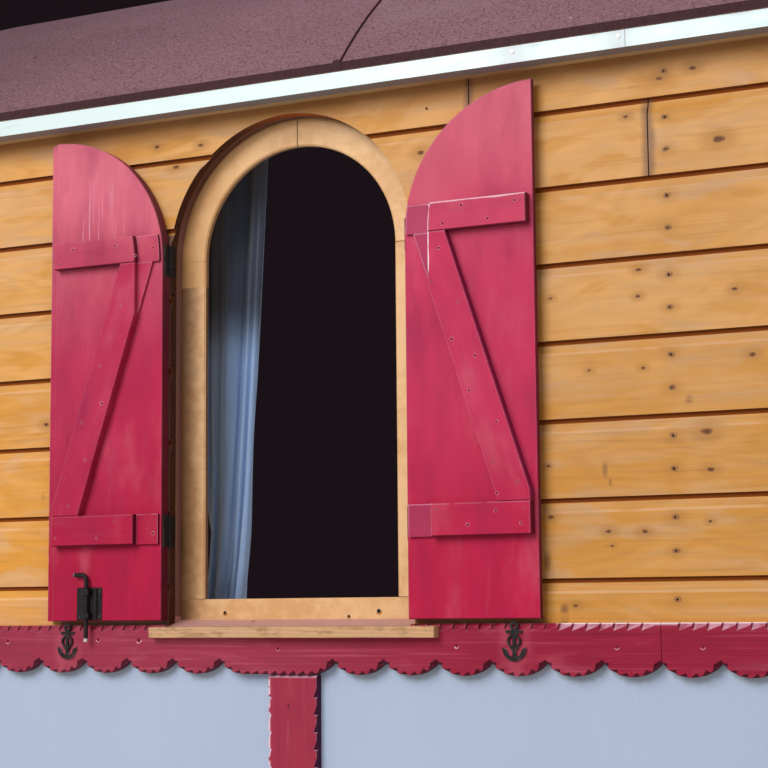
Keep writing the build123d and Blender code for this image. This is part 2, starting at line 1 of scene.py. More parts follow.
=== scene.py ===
"""Finishes, fixings and curtain of the wagon bay, around the fixed CAD frame.

Metres, in the frame's own axes: X along the wall, Y into the wagon, Z up.
"""

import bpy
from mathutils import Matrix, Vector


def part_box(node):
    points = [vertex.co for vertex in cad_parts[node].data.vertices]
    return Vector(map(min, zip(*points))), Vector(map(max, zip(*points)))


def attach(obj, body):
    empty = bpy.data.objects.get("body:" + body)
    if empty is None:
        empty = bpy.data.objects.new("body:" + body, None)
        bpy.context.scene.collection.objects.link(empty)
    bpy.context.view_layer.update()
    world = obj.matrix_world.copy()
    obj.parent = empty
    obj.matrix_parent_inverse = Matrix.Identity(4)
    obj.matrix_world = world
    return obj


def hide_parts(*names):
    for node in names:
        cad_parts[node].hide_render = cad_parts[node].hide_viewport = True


bl_info = {
    "name": "Wagon window bay",
    "version": (1, 0, 0),
    "blender": (4, 5, 0),
    "location": "View3D > Sidebar > Wagon bay",
    "description": "Timber, stain, roofing, ironwork, fixings and curtain of a wagon's side-wall bay",
    "category": "Object",
}

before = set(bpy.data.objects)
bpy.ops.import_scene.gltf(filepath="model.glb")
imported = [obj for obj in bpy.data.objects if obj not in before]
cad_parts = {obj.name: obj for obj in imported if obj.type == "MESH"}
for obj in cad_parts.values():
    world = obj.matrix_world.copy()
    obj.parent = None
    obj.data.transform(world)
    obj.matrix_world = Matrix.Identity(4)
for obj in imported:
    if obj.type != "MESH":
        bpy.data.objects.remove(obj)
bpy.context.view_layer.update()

import math

import bpy
from bpy.props import FloatProperty, FloatVectorProperty, IntProperty, PointerProperty
from mathutils import Matrix, Vector

X, Y, Z = 0, 1, 2

# Places on the wall, as in the part's source
BOARD_BOTTOM, BOARD_COVER = 0.722, 0.137
BUTT_JOINTS = ((6, 0.708), (7, 0.374))          # course from the bottom, place along it
SPRING_HEIGHT, RECESS_RADIUS = 1.483, 0.257
OPENING_BOTTOM, CASING_RADIUS = 0.831, 0.204
FRIEZE_TOP, FRIEZE_FACE, SCALLOP_TIP, SCALLOP_CUSP = 0.783, -0.020, 0.693, 0.718
SCALLOP_PITCH, LONG_LEFT, LONG_RIGHT = 0.102, -0.133, 0.103
BRACE_SLOPE = 0.332
LEDGE_FACE, THIN_LEDGE_FACE, PLATE_FACE = -0.045, -0.033, -0.029
CASING_FACE, DRIP_FACE = 0.042, -0.0595
ROD_DEPTH, ROD_HEIGHT, ROD_RADIUS = 0.140, 1.745, 0.006
SEAM, BATTEN_LEFT = 0.148, -0.033         # edge of the upper sheet of felt, and of the batten
DRIP_SMEARS = ((0.485, 0.05), (0.680, 0.035))   # place along the drip edge, half width
SCOOP_START, LAP = 0.113, 0.1289          # up a board: where its scoop starts, and the next board's edge
EAVE_SHADE = 1.705, 1.762                 # heights where the painted shade under the eave starts and is full
SHADOW_STRIP_TOP, SHADOW_STRIP_REACH = 0.797, 0.504     # painted shadow: dark strip of the boards along the frieze, between the open shutters' outer edges
SHUTTER_SHADOW_END = 0.535                       # right edge of the open right shutter, above the frieze; the frieze's teeth right of it get a painted highlight
THIN_CUT, THIN_FOOT = 0.310, 1.405        # where the right shutter's ledges thin out, and the cut's lower end
BOLT_FOOT, BOLT_HANDLE = 0.758, -0.4465   # the drop bolt is rubbed bright below this height, and has a painted highlight left of this place
FLUKES = 0.7480, 0.7390                   # heights where the catches' flukes start to shine and shine most
# Nails of a board on the studs: along the wall, and up from the board's lower edge
NAIL_LINE, END_NAIL_LINE, NAIL_ROWS = 0.7405, 0.9775, (0.043, 0.099)


def linear(red, green, blue):
    """Scene colour of an 8-bit display colour."""
    def channel(value):
        share = value / 255
        return share / 12.92 if share < 0.04045 else ((share + 0.055) / 1.055) ** 2.4
    return channel(red), channel(green), channel(blue), 1.0


def colour(name, description, *shade):
    return FloatVectorProperty(
        name=name, description=description, subtype="COLOR", size=4, min=0.0, max=1.0,
        default=linear(*shade))


def length(name, description, value):
    return FloatProperty(name=name, description=description, default=value, min=0.0, unit="LENGTH")


class BayColours(bpy.types.PropertyGroup):
    """Colours of the bay's finishes."""
    honey: colour("Honey pine", "Light tone of the stained cladding", 214, 156, 88)
    amber: colour("Amber pine", "Deep tone of the stained cladding", 200, 136, 50)
    blush: colour("Pale pine", "Dry, greyer streaks of the cladding", 204, 158, 116)
    joint: colour("Joint stain", "Stain gathered in the joints of the cladding", 128, 60, 6)
    # Brown painted shade under the eave and on the casing's let-in edge and side faces; also the casing's
    # real joint lines
    shade_and_joint_brown: colour("Eave grime", "Brown grime under the eave", 132, 84, 48)
    bruise: colour("Nail stain", "Purple-brown stain round nails and joints", 106, 68, 50)
    knot: colour("Knots", "Heart of the knots", 92, 46, 22)
    casing: colour("Casing pine", "Clear-finished pine round the window", 238, 190, 138)
    # Painted shade: browner pine at the left of the casing
    casing_left_shade: colour("Aged casing", "Browned pine at the left of the casing", 112, 68, 36)
    casing_deep: colour("Casing grain", "Darker grain of the casing", 212, 156, 98)
    sill: colour("Sill strip", "Weathered pine of the sill strip", 210, 164, 126)
    mould: colour("Weathered knots", "Grey-brown stains on the sill strip", 150, 112, 74)
    reveal: colour("Reveal", "Purple-brown stain of the reveal and sill", 132, 92, 84)
    reveal_deep: colour("Reveal shade", "Dark brown stain under the crown of the arch", 80, 44, 30)
    sill_blush: colour("Worn sill", "Rubbed, pinkish stain on the flat of the sill", 196, 148, 142)
    rose: colour("Faded stain", "Raspberry stain, faded high on the shutters", 210, 106, 124)
    raspberry: colour("Raspberry stain", "Raspberry stain of the shutters", 194, 48, 86)
    crimson: colour("Crimson stain", "Fresh stain low on the shutters", 184, 22, 64)
    cherry: colour("Frieze stain", "Deeper stain of the frieze and batten", 150, 24, 54)
    # Wine: real stain in cuts, strokes and knots, and painted shade on faces that look right and down and on
    # the boards below the shutters
    wine_stain_and_shade: colour("Stain shade", "Stain in cuts and end grain", 64, 8, 32)
    plum: colour("Stain clouds", "Purple clouds in the stain of the shutters", 132, 22, 74)
    thin_stain: colour("Thin stain", "Stain on the thinned ends of the right ledges", 146, 62, 100)
    # Painted shade on the right brace's right-facing side
    brace_shade: colour("Brace shade", "Stain on the sheltered side of the right brace", 84, 26, 78)
    # Painted shade on the batten's right side
    batten_shade: colour("Batten shade", "Stain on the batten's right side", 58, 20, 52)
    # Lavender: real brush marks and lifted fibres, and painted highlight on cuts and edges that face the
    # light
    lavender_and_highlight: colour("Pale arris", "Bleached, sky-lit cuts and arrises of the stained wood", 238, 190, 214)
    # Painted highlight on the cut where the right ledges thin out, and on their top edge
    cut_highlight: colour("Fresh cut", "Bare edge where the right ledges thin out", 255, 232, 244)
    # Painted highlight on the top edge of the frieze's saw-teeth
    tooth_rim: colour("Tooth rim", "Top edge of the frieze's saw-teeth", 255, 236, 242)
    # Painted highlight on the batten's left edge
    batten_left_highlight: colour("Batten rim", "Worn left edge of the batten", 250, 214, 226)
    panel: colour("Panel paint", "Grey-blue paint of the lower panel", 178, 192, 218)
    algae: colour("Green stain", "Stain under the scallops", 146, 156, 146)
    felt: colour("Roofing felt", "Mineral felt", 152, 112, 124)
    # Dark felt: real dark grit, and painted shade at the lap and on the turned-down edge
    felt_grit_and_shade: colour("Felt grit", "Dark grains and the turned-down edge of the felt", 74, 42, 48)
    felt_worn: colour("Worn felt", "Greyer felt beside the lap", 156, 138, 140)
    felt_chip: colour("Felt chips", "Pale mineral chips", 232, 226, 224)
    aluminium: colour("Aluminium", "Drip edge", 198, 214, 214)
    drip_dirt: colour("Drip edge dirt", "Dirt on the drip edge", 150, 146, 154)
    drip_smear: colour("Drip edge smears", "Smears round the drip edge's screws", 160, 158, 168)
    drip_under: colour("Drip edge underside", "Shaded underside of the drip edge", 120, 112, 124)
    iron: colour("Iron", "Black iron of the hinges, bolt and catches", 30, 26, 30)
    rust: colour("Brown iron", "Brown bloom on the cast iron", 60, 38, 36)
    # Bright iron: rubbed wear and painted glints on the ironwork's edges and flukes; also the zinc screws'
    # colour
    worn: colour("Worn iron", "Bright worn iron", 190, 186, 180)
    bolt_tip: colour("Bolt tip", "Rubbed tip of the drop bolt", 226, 218, 206)
    brass: colour("Brass", "Curtain rod and rings", 178, 138, 74)
    spruce: colour("Spruce", "Planed framing timber", 206, 172, 124)
    spruce_deep: colour("Spruce grain", "Darker grain of the framing", 168, 126, 80)
    cloth: colour("Curtain", "Blue curtain cloth", 168, 196, 234)
    cloth_deep: colour("Curtain shade", "Deeper threads of the curtain", 134, 164, 212)
    # Painted shade: the dark colour over the top of the curtain's front
    cloth_shade: colour("Curtain top", "Grimed cloth near the rod", 44, 40, 46)
    floor: colour("Floor", "Plain studio floor", 214, 212, 208)
    ground: colour("Background", "Plain studio background", 26, 18, 22)


class BaySizes(bpy.types.PropertyGroup):
    """Sizes of the bay's small pieces."""
    nail: length("Nail head", "Radius of a sunk nail's head", 0.0022)
    screw: length("Frieze screw", "Radius of the screw holes in the frieze and the casing", 0.0040)
    plate_screw: length("Plate screw", "Radius of a screw's head on the bolt plate", 0.0028)
    drip_screw: length("Drip screw", "Radius of a pan-head screw on the drip edge", 0.0036)
    ring: length("Curtain ring", "Radius of a curtain ring, to the middle of its wire", 0.0100)
    ring_wire: length("Ring wire", "Radius of a curtain ring's wire", 0.0014)
    curtain_width: length("Curtain width", "Flat width of the curtain before it was gathered", 0.210)
    curtain_folds: IntProperty(name="Curtain folds", description="Folds across the curtain",
                               default=2, min=2, max=12)


class WagonBay(bpy.types.PropertyGroup):
    """Sizes and colours of the wagon bay."""
    colours: PointerProperty(type=BayColours)
    sizes: PointerProperty(type=BaySizes)


def feed(node, inputs):
    """Gives a node's inputs a value, or the socket or Wire that feeds them."""
    for key, value in dict(inputs).items():
        value = value.socket if isinstance(value, Wire) else value
        if isinstance(value, bpy.types.NodeSocket):
            node.id_data.links.new(value, node.inputs[key])
        else:
            node.inputs[key].default_value = value


def add_node(tree, kind, settings=(), inputs=()):
    """A new node with its settings and inputs."""
    made = tree.nodes.new(kind)
    for name, value in dict(settings).items():
        setattr(made, name, value)
    feed(made, inputs)
    return made


class Wire:
    """A socket that takes part in sums; each sum adds a Math node."""

    def __init__(self, finish, socket):
        self.finish, self.socket = finish, socket

    def wave(self):
        """0 to 1 and back once for each whole step."""
        return (self * math.tau).sine() * 0.5 + 0.5


def sums(operation, swapped=False):
    """A method that joins a Wire and any other values with one Math node."""
    def method(self, *others):
        inputs = others + (self,) if swapped else (self,) + others
        return self.finish.node("ShaderNodeMath", {"operation": operation}, dict(enumerate(inputs)))
    return method


for name, operation in (
        ("__add__", "ADD"), ("__sub__", "SUBTRACT"), ("__mul__", "MULTIPLY"), ("__truediv__", "DIVIDE"),
        ("__pow__", "POWER"), ("__gt__", "GREATER_THAN"), ("__lt__", "LESS_THAN"), ("__abs__", "ABSOLUTE"),
        ("whole", "FLOOR"), ("part", "FRACT"), ("root", "SQRT"), ("sine", "SINE"),
        ("least", "MINIMUM"), ("most", "MAXIMUM")):
    setattr(Wire, name, sums(operation))
for name, operation in (("__radd__", "ADD"), ("__rsub__", "SUBTRACT"), ("__rmul__", "MULTIPLY")):
    setattr(Wire, name, sums(operation, swapped=True))


class Finish:
    """A material, with the nodes that give it colour, gloss and relief."""

    def __init__(self, name, lean=0.0, **constants):
        self.material = bpy.data.materials.new(name)
        self.material.use_nodes = True
        self.tree = self.material.node_tree
        self.tree.nodes.clear()
        self.shader = add_node(self.tree, "ShaderNodeBsdfPrincipled", {}, {
            socket.replace("_", " "): value for socket, value in constants.items()})
        add_node(self.tree, "ShaderNodeOutputMaterial", {}, {"Surface": self.shader.outputs["BSDF"]})
        self.place = self.node("ShaderNodeTexCoord", output="Object")
        self.true = self.split(self.place)
        if lean:
            self.place = self.node(
                "ShaderNodeMapping", {}, {"Vector": self.place, "Rotation": (0.0, lean, 0.0)})
        self.x, self.y, self.z = self.split(self.place)
        self.facing = self.split(self.node("ShaderNodeTexCoord", output="Normal"))

    def node(self, kind, settings=(), inputs=(), output=0):
        made = add_node(self.tree, kind, settings, inputs)
        if isinstance(output, tuple):
            return [Wire(self, made.outputs[name]) for name in output]
        return Wire(self, made.outputs[output])

    def split(self, vector):
        return self.node("ShaderNodeSeparateXYZ", {}, {0: vector}, ("X", "Y", "Z"))

    def join(self, x=0.0, y=0.0, z=0.0):
        return self.node("ShaderNodeCombineXYZ", {}, {"X": x, "Y": y, "Z": z})

    def vector_maths(self, operation, inputs, output=0):
        return self.node("ShaderNodeVectorMath", {"operation": operation}, inputs, output)

    def stretched(self, scales, shift=(0.0, 0.0, 0.0)):
        """The place on the piece, scaled along each axis, then shifted."""
        return self.vector_maths("MULTIPLY_ADD", {0: self.place, 1: scales, 2: shift})

    def noise(self, where, scale=1.0, detail=3.0, roughness=0.5, distortion=0.0):
        return self.node("ShaderNodeTexNoise", {}, {
            "Vector": where, "Scale": scale, "Detail": detail, "Roughness": roughness,
            "Distortion": distortion})

    def cloud(self, scales, shift=(0.0, 0.0, 0.0), detail=3.0, roughness=0.5, distortion=0.0):
        return self.noise(self.stretched(scales, shift), 1.0, detail, roughness, distortion)

    def cells(self, where, scale):
        """Distance to the nearest cell's middle, and a random number of that cell."""
        away, lot = self.node(
            "ShaderNodeTexVoronoi", {}, {"Vector": where, "Scale": scale}, ("Distance", "Color"))
        return away, self.split(lot)[X]

    def lottery(self, number):
        """The same random number, 0 to 1, for each equal input."""
        return self.node("ShaderNodeTexWhiteNoise", {"noise_dimensions": "1D"}, {"W": number}, "Value")

    def fade(self, value, low, high):
        """0 at low, 1 at high, smooth between."""
        return self.node(
            "ShaderNodeMapRange", {"interpolation_type": "SMOOTHSTEP"},
            {"Value": value, "From Min": low, "From Max": high})

    def patchy(self, scale, low, high, detail=3.0):
        """0 and 1 in patches."""
        return self.fade(self.noise(self.place, scale, detail), low, high)

    def facet(self):
        """1 on the slanted faces of carved cuts."""
        return self.fade(abs(self.facing[Y]), 0.97, 0.80)

    def far_out(self):
        """Distance from the window's middle line, and above its spring line from the arch's centre."""
        return self.vector_maths("LENGTH", {
            0: self.join(self.x, 0.0, (self.z - SPRING_HEIGHT).most(0.0))}, "Value")

    def mix(self, first, second, share):
        return self.node(
            "ShaderNodeMix", {"data_type": "RGBA", "clamp_factor": True}, {0: share, 6: first, 7: second}, 2)

    def shade(self, tint, strength):
        start = tint if isinstance(tint, Wire) else tuple(tint)[:3]
        return self.vector_maths("SCALE", {0: start, "Scale": strength})

    def coat(self, tint, share):
        """Covers the tint so far, wholly where share is 1."""
        self.tint = self.mix(self.tint, tint, share)

    def tone(self, strength):
        """Makes the tint so far lighter or darker."""
        self.tint = self.shade(self.tint, strength)

    def arris(self, radius):
        """1 on the piece's edges and 0 on its flats, and the way that each rounded edge looks."""
        rounded = self.node("ShaderNodeBevel", {"samples": 4}, {"Radius": radius})
        true = self.node("ShaderNodeNewGeometry", output="Normal")
        same = self.vector_maths("DOT_PRODUCT", {0: rounded, 1: true}, "Value")
        return self.fade(1.0 - same, 0.03, 0.20), self.split(rounded)

    # Edge mask for pale or bright edges: partly wear, partly painted highlight
    def worn_and_lit_arris(self, radius):
        return self.arris(radius)[0]

    def settle(self, roughness, height=None, depth=0.001):
        """Links the tint, the gloss and the relief to the shader, and returns the material."""
        feed(self.shader, {"Base Color": self.tint, "Roughness": roughness})
        if height is not None:
            feed(self.shader, {"Normal": self.node(
                "ShaderNodeBump", {}, {"Strength": 1.0, "Distance": depth, "Height": height})})
        return self.material


def grain(f, along, number=0.0, across=1.0):
    """Streaks, fibres and wander of wood that grows along an axis; number makes boards differ."""
    def scales(slow, fast):
        return [slow if axis == along else fast * across for axis in (X, Y, Z)]
    if isinstance(number, Wire):
        shift = f.join(number * 7.3, number * 3.1, number * 5.7)
    else:
        shift = (number * 7.3, number * 3.1, number * 5.7)
    streaks = f.cloud(scales(1.3, 34.0), shift, 4.0, 0.6, 0.4)
    fibres = f.cloud(scales(9.0, 520.0), shift, 2.0, 0.6)
    wander = f.cloud(scales(1.7, 3.0), shift, 2.0)
    return streaks, fibres, wander


def knots(f, table, squash=0.6):
    """Hearts and halos of knots from a table of place along, height and radius."""
    flat = f.stretched((squash, 0.0, 1.0))
    ragged = (f.noise(f.place, 90.0, 2.0, 0.6) - 0.5) * 0.9
    nearest = None
    for x, z, radius in table:
        gap = f.vector_maths("DISTANCE", {0: flat, 1: (x * squash, 0.0, z)}, "Value") / radius
        nearest = gap if nearest is None else nearest.least(gap)
    nearest = nearest + ragged
    return f.fade(nearest, 1.0, 0.35), f.fade(nearest, 3.8, 0.8)


# Knots: place along the wall, height and radius
CLADDING_KNOTS = (
    (0.834, 1.593, 0.0080), (0.670, 1.652, 0.0036), (0.686, 1.382, 0.0042), (0.684, 1.336, 0.0034),
    (0.853, 1.335, 0.0040), (0.690, 1.212, 0.0032), (0.880, 1.223, 0.0050), (0.593, 1.214, 0.0030),
    (0.525, 1.345, 0.0030), (0.732, 1.712, 0.0048), (0.792, 1.722, 0.0052), (0.278, 1.633, 0.0060),
    (-0.290, 1.710, 0.0048), (-0.249, 1.667, 0.0058), (-0.190, 1.702, 0.0044), (-0.545, 1.178, 0.0052),
    (-0.860, 1.470, 0.0070), (-0.720, 0.905, 0.0060), (0.797, 1.099, 0.0075), (0.803, 1.035, 0.0050),
    (0.515, 1.052, 0.0026), (0.518, 0.964, 0.0042), (0.622, 0.937, 0.0046), (0.686, 0.935, 0.0044),
    (0.628, 0.912, 0.0026), (0.800, 0.949, 0.0028), (0.930, 0.960, 0.0065), (0.560, 0.812, 0.0040))
# Soft purple stains, and the batten's knots, the same way
CLADDING_FLAWS = ((0.618, 1.042, 0.0050), (0.627, 1.020, 0.0026), (0.510, 0.888, 0.0060))
BATTEN_KNOTS = ((0.008, 0.636, 0.0065), (0.040, 0.322, 0.0075), (-0.006, 0.118, 0.006))


def cladding_finish(c):
    """Honey-stained shiplap: dark joints, a painted highlight where the scoop starts, stained nails and
    knots.
    """
    f = Finish("cladding_honey", Specular_IOR_Level=0.35)
    course = ((f.z - BOARD_BOTTOM) / BOARD_COVER).whole()
    up = ((f.z - BOARD_BOTTOM) / BOARD_COVER).part() * BOARD_COVER
    number = course
    for row, joint_x in BUTT_JOINTS:
        number = number + (abs(course - float(row)) < 0.5) * (f.x > joint_x) * 0.37
    streaks, fibres, wander = grain(f, X, number, 1.3)
    bands = f.cloud((1.0, 8.0, 24.0), (0.0, 0.0, 3.0), 3.0, 0.55, 0.8)
    lines = f.noise(f.join(f.x * 1.6 + number * 9.1, f.y * 40.0, f.z * 150.0 + wander * 6.0), 1.0, 3.0, 0.6)
    cathedral = (f.cloud((1.9, 3.0, 9.0), f.join(number * 5.3, 0.0, number * 1.9), 2.0) * 13.0).wave()
    patches = f.cloud((4.5, 6.0, 11.0), roughness=0.55)
    clouds = f.cloud((6.0, 6.0, 16.0), f.join(number * 4.1, 0.0, number * 2.3), 3.0, 0.55, 0.6)
    tone = f.lottery(number * 3.7 + 0.4) * 0.16 + patches * 0.9 + f.fade(f.z, 1.50, 0.90) * 0.20
    f.tint = f.mix(c.honey, c.amber, f.fade(tone, 0.40, 0.86))
    f.coat(c.blush, f.fade(bands, 0.46, 0.72) * 0.55)
    f.coat(c.blush, f.fade(streaks, 0.54, 0.80) * 0.5)
    f.coat(c.amber, f.fade(streaks, 0.44, 0.24) * 0.55)
    f.coat(c.amber, f.fade(up, SCOOP_START - 0.001, SCOOP_START + 0.009) * 0.35)
    # Painted highlight: a pale line where the scoop starts, on the edge that catches the light
    f.coat(f.shade(c.blush, 1.16), f.fade(abs(up - SCOOP_START), 0.0034, 0.0010) * 0.6)
    f.coat(c.amber, f.fade(clouds, 0.52, 0.66) * 0.85)
    f.coat(f.shade(c.blush, 0.92), f.fade(clouds, 0.47, 0.30) * 0.60)
    heart, halo = knots(f, CLADDING_KNOTS)
    f.coat(c.amber, halo * 0.5)
    f.coat(c.bruise, halo * 0.22)
    f.coat(c.knot, heart * 0.92)
    _, flaw = knots(f, CLADDING_FLAWS, 2.4)
    f.coat(c.bruise, flaw * 0.55)
    shift = f.join((wander - 0.5) * 0.8, 0.0, (patches - 0.5) * 0.8)
    away, lot = f.cells(f.stretched((13.0, 0.0, 8.0), shift), 1.0)
    flecks = f.fade(away, 0.16, 0.06) * (lot > 0.72) * f.fade(fibres + streaks, 0.75, 1.05)
    f.coat(c.knot, flecks * 0.75)
    eyes, cores, halos = nail_stains(f, up)
    f.coat(c.amber, halos * 0.45)
    f.coat(c.bruise, halos * 0.14)
    f.coat(c.bruise, eyes * 0.8)
    f.coat(f.shade(c.bruise, 0.35), cores * 0.9)
    f.tone(1.0 + (fibres - 0.5) * 0.10 - f.fade(lines, 0.50, 0.78) * 0.16 - cathedral * 0.07)
    # Painted shade: the boards darken under the eave
    f.coat(c.shade_and_joint_brown, f.fade(f.z + (patches - 0.5) * 0.03, *EAVE_SHADE) * 0.75)
    # Painted shadow on the boards just above the frieze, below the open shutters
    foot = f.fade(f.z, SHADOW_STRIP_TOP + 0.003, SHADOW_STRIP_TOP - 0.003)
    foot = foot * f.fade(abs(f.x), SHADOW_STRIP_REACH + 0.004, SHADOW_STRIP_REACH - 0.004)
    f.coat(c.wine_stain_and_shade, foot * 0.55)
    # Painted shade: a band in the reveal's stain colour beside the left recess edge, in the gap that the left
    # shutter shades
    in_from = f.x + RECESS_RADIUS
    beside = f.fade(in_from, -0.019, -0.009) * f.fade(in_from, 0.017, 0.007) * (f.z < SPRING_HEIGHT + 0.05)
    f.coat(f.shade(c.reveal, 0.6 + patches * 0.4), beside * 0.9)
    dark = f.fade(up, LAP - 0.0007, LAP + 0.0007)
    end = f.fade(abs(f.facing[Y]), 0.70, 0.25)
    f.coat(c.joint, dark)
    f.coat(f.mix(c.joint, c.reveal_deep, f.fade(f.x, 0.06, -0.12) * 0.8), end)
    f.tone(1.0 - f.fade(abs(f.facing[X]), 0.1, 0.5) * 0.6)
    f.tone(1.0 + end * (f.far_out() < RECESS_RADIUS + 0.003) * 0.75)
    # Painted light: the boards are lighter towards the left and low down
    left = f.fade(f.x, -0.40, -0.60)
    f.tone(1.02 + f.fade(f.z, 1.25, 0.80) * 0.05 + left * (f.fade(f.z, 1.5, 0.95) * 0.16 + 0.08))
    for row, joint_x in BUTT_JOINTS:
        off = abs(f.x - (joint_x + 0.00075))
        in_row = abs(course - float(row)) < 0.5
        stained = 0.003 if row == 6 else 0.001
        f.coat(c.bruise, in_row * f.fade(off + (clouds - 0.5) * 0.016, stained + 0.014, stained) * 0.65)
        f.coat(f.shade(c.reveal_deep, 0.6), in_row * f.fade(off, 0.0018, 0.0010) * 0.8)
    return f.settle(0.52 + heart * 0.1 + dark.most(end) * 0.45,
                    fibres * 0.35 + lines * 0.25 - heart * 0.5, 0.0006)


def nail_stains(f, up):
    """Stained eye, dark core and faint halo of each nail of the cladding, two to a board on each stud."""
    along = abs(abs(f.x) - NAIL_LINE).least(abs(abs(f.x) - END_NAIL_LINE)) / 0.0072
    ragged = (f.noise(f.place, 130.0, 2.0, 0.6) - 0.5) * 0.9
    off = abs(up - NAIL_ROWS[0]).least(abs(up - NAIL_ROWS[1])) / 0.0052
    away = (along * along + off * off).root() + ragged
    return f.fade(away, 1.30, 0.45), f.fade(away, 0.60, 0.25), f.fade(away, 4.2, 0.8)


def pine_finish(name, light, deep, along, number, spacing=0.009, edge_wear_and_highlight=0.0, grey=None, groove=None):
    """Plain pine: grain along one axis, rings across, optional pale arrises of wear and painted highlight,
    and matchboard grooves.
    """
    f = Finish(name, Specular_IOR_Level=0.35)
    streaks, fibres, wander = grain(f, along, number)
    over = f.x if along == Z else f.z + f.y
    ring = ((over + wander * 0.06) / spacing).wave() ** 2.5
    cloud = f.cloud((5.0, 5.0, 5.0), (number, 0.0, 0.0), 3.0, 0.6)
    f.tint = f.mix(light, deep, f.fade(streaks, 0.62, 0.30) * 0.48 + f.fade(cloud, 0.60, 0.34) * 0.384)
    f.tone(1.0 + (fibres - 0.5) * 0.144 - ring * 0.12)
    height = fibres * 0.35 + ring * 0.3
    if grey is not None:
        spots = f.cloud((30.0, 40.0, 90.0), (number, 0.0, 0.0), 3.0, 0.6)
        f.coat(grey, f.fade(spots, 0.48, 0.70) * 0.65)
    # Pale arrises: partly wear, partly painted highlight
    if edge_wear_and_highlight:
        f.coat(f.shade(light, 1.25), f.worn_and_lit_arris(edge_wear_and_highlight) * f.patchy(60.0, 0.30, 0.50) * 0.55)
    if groove is not None:
        line = f.fade(abs((f.z / groove).part() - 0.5) * groove, 0.0030, 0.0006)
        f.tone(1.0 - line * 0.6)
        height = height - line * 4.0
    return f.settle(0.55 - ring * 0.06, height, 0.0006)


def casing_finish(name, c, along, number):
    """Smooth clear-finished pine: faint grain, a painted highlight on the inner arris, dark line and painted
    shade where it is let in, painted shade on its side faces and at its left.
    """
    f = Finish(name, Specular_IOR_Level=0.4)
    streaks, fibres, _ = grain(f, along, number, 0.8)
    cloud = f.cloud((9.0, 9.0, 9.0), (number, 0.0, 0.0), 3.0, 0.6)
    mottle = f.cloud((46.0, 46.0, 46.0), (number, 0.0, 0.0), 3.0, 0.6)
    tone = cloud * 0.5 + streaks * 0.2 + mottle * 0.3
    f.tint = f.mix(c.casing, c.casing_deep, f.fade(tone, 0.58, 0.38) * 0.75)
    f.tone(1.0 + (fibres - 0.5) * 0.06)
    high = f.z - SPRING_HEIGHT
    let_in = f.fade(f.far_out(), RECESS_RADIUS - 0.006, RECESS_RADIUS - 0.0015)
    joint = f.fade(abs(high), 0.0016, 0.0006).most(f.fade(abs(f.x), 0.0018, 0.0008) * (high > 0.0))
    lower = f.fade(abs(f.z - OPENING_BOTTOM), 0.0014, 0.0006) * (abs(f.x) > CASING_RADIUS - 0.0005)
    # Painted shade on the casing's side faces and where it is let in; the joint lines are real
    inside = f.fade(abs(f.facing[Y]), 0.35, 0.15)
    f.coat(c.shade_and_joint_brown, (let_in * 0.55).most(inside * 0.9).most(joint.most(lower) * 0.9))
    # Painted shade: the casing browner and darker towards its left
    outer_left_shade = f.fade(f.x + (mottle - 0.5) * 0.02, CASING_RADIUS * -0.92, -RECESS_RADIUS)
    f.coat(c.casing_left_shade, outer_left_shade * 0.90)
    f.tone(1.0 - f.fade(f.x, -0.12, -0.20) * 0.14)
    f.coat(c.casing_deep, f.fade(f.x, 0.0, -CASING_RADIUS) * (high > -0.05) * 0.6)
    # Painted highlight on the inner arris
    edge = f.worn_and_lit_arris(0.0010) * (1.0 - let_in)
    f.coat(f.shade(c.casing, 1.15), edge * f.fade(abs(f.facing[Y]), 0.4, 0.8) * 0.6)
    return f.settle(0.46, fibres * 0.4, 0.0003)


def reveal_finish(c):
    """Purple-brown stain, darkest under the crown of the arch, rubbed through to pine in streaks."""
    f = Finish("reveal_stain", Specular_IOR_Level=0.4)
    streaks, fibres, _ = grain(f, Z, 4.0)
    crown = f.fade(f.z, SPRING_HEIGHT, SPRING_HEIGHT + 0.16)
    f.tint = f.mix(c.reveal, c.reveal_deep, (crown * 0.85).most(f.fade(streaks, 0.50, 0.30) * 0.7))
    rubbed = f.fade(streaks, 0.60, 0.70) * f.fade(f.y, 0.036, 0.012) * (1.0 - crown)
    f.coat(c.casing_deep, rubbed * 0.7)
    f.coat(c.sill_blush, f.fade(f.z, OPENING_BOTTOM - 0.030, OPENING_BOTTOM - 0.034) * 0.8)
    f.tone(1.22 + (fibres - 0.5) * 0.25)
    return f.settle(0.5, fibres, 0.0005)


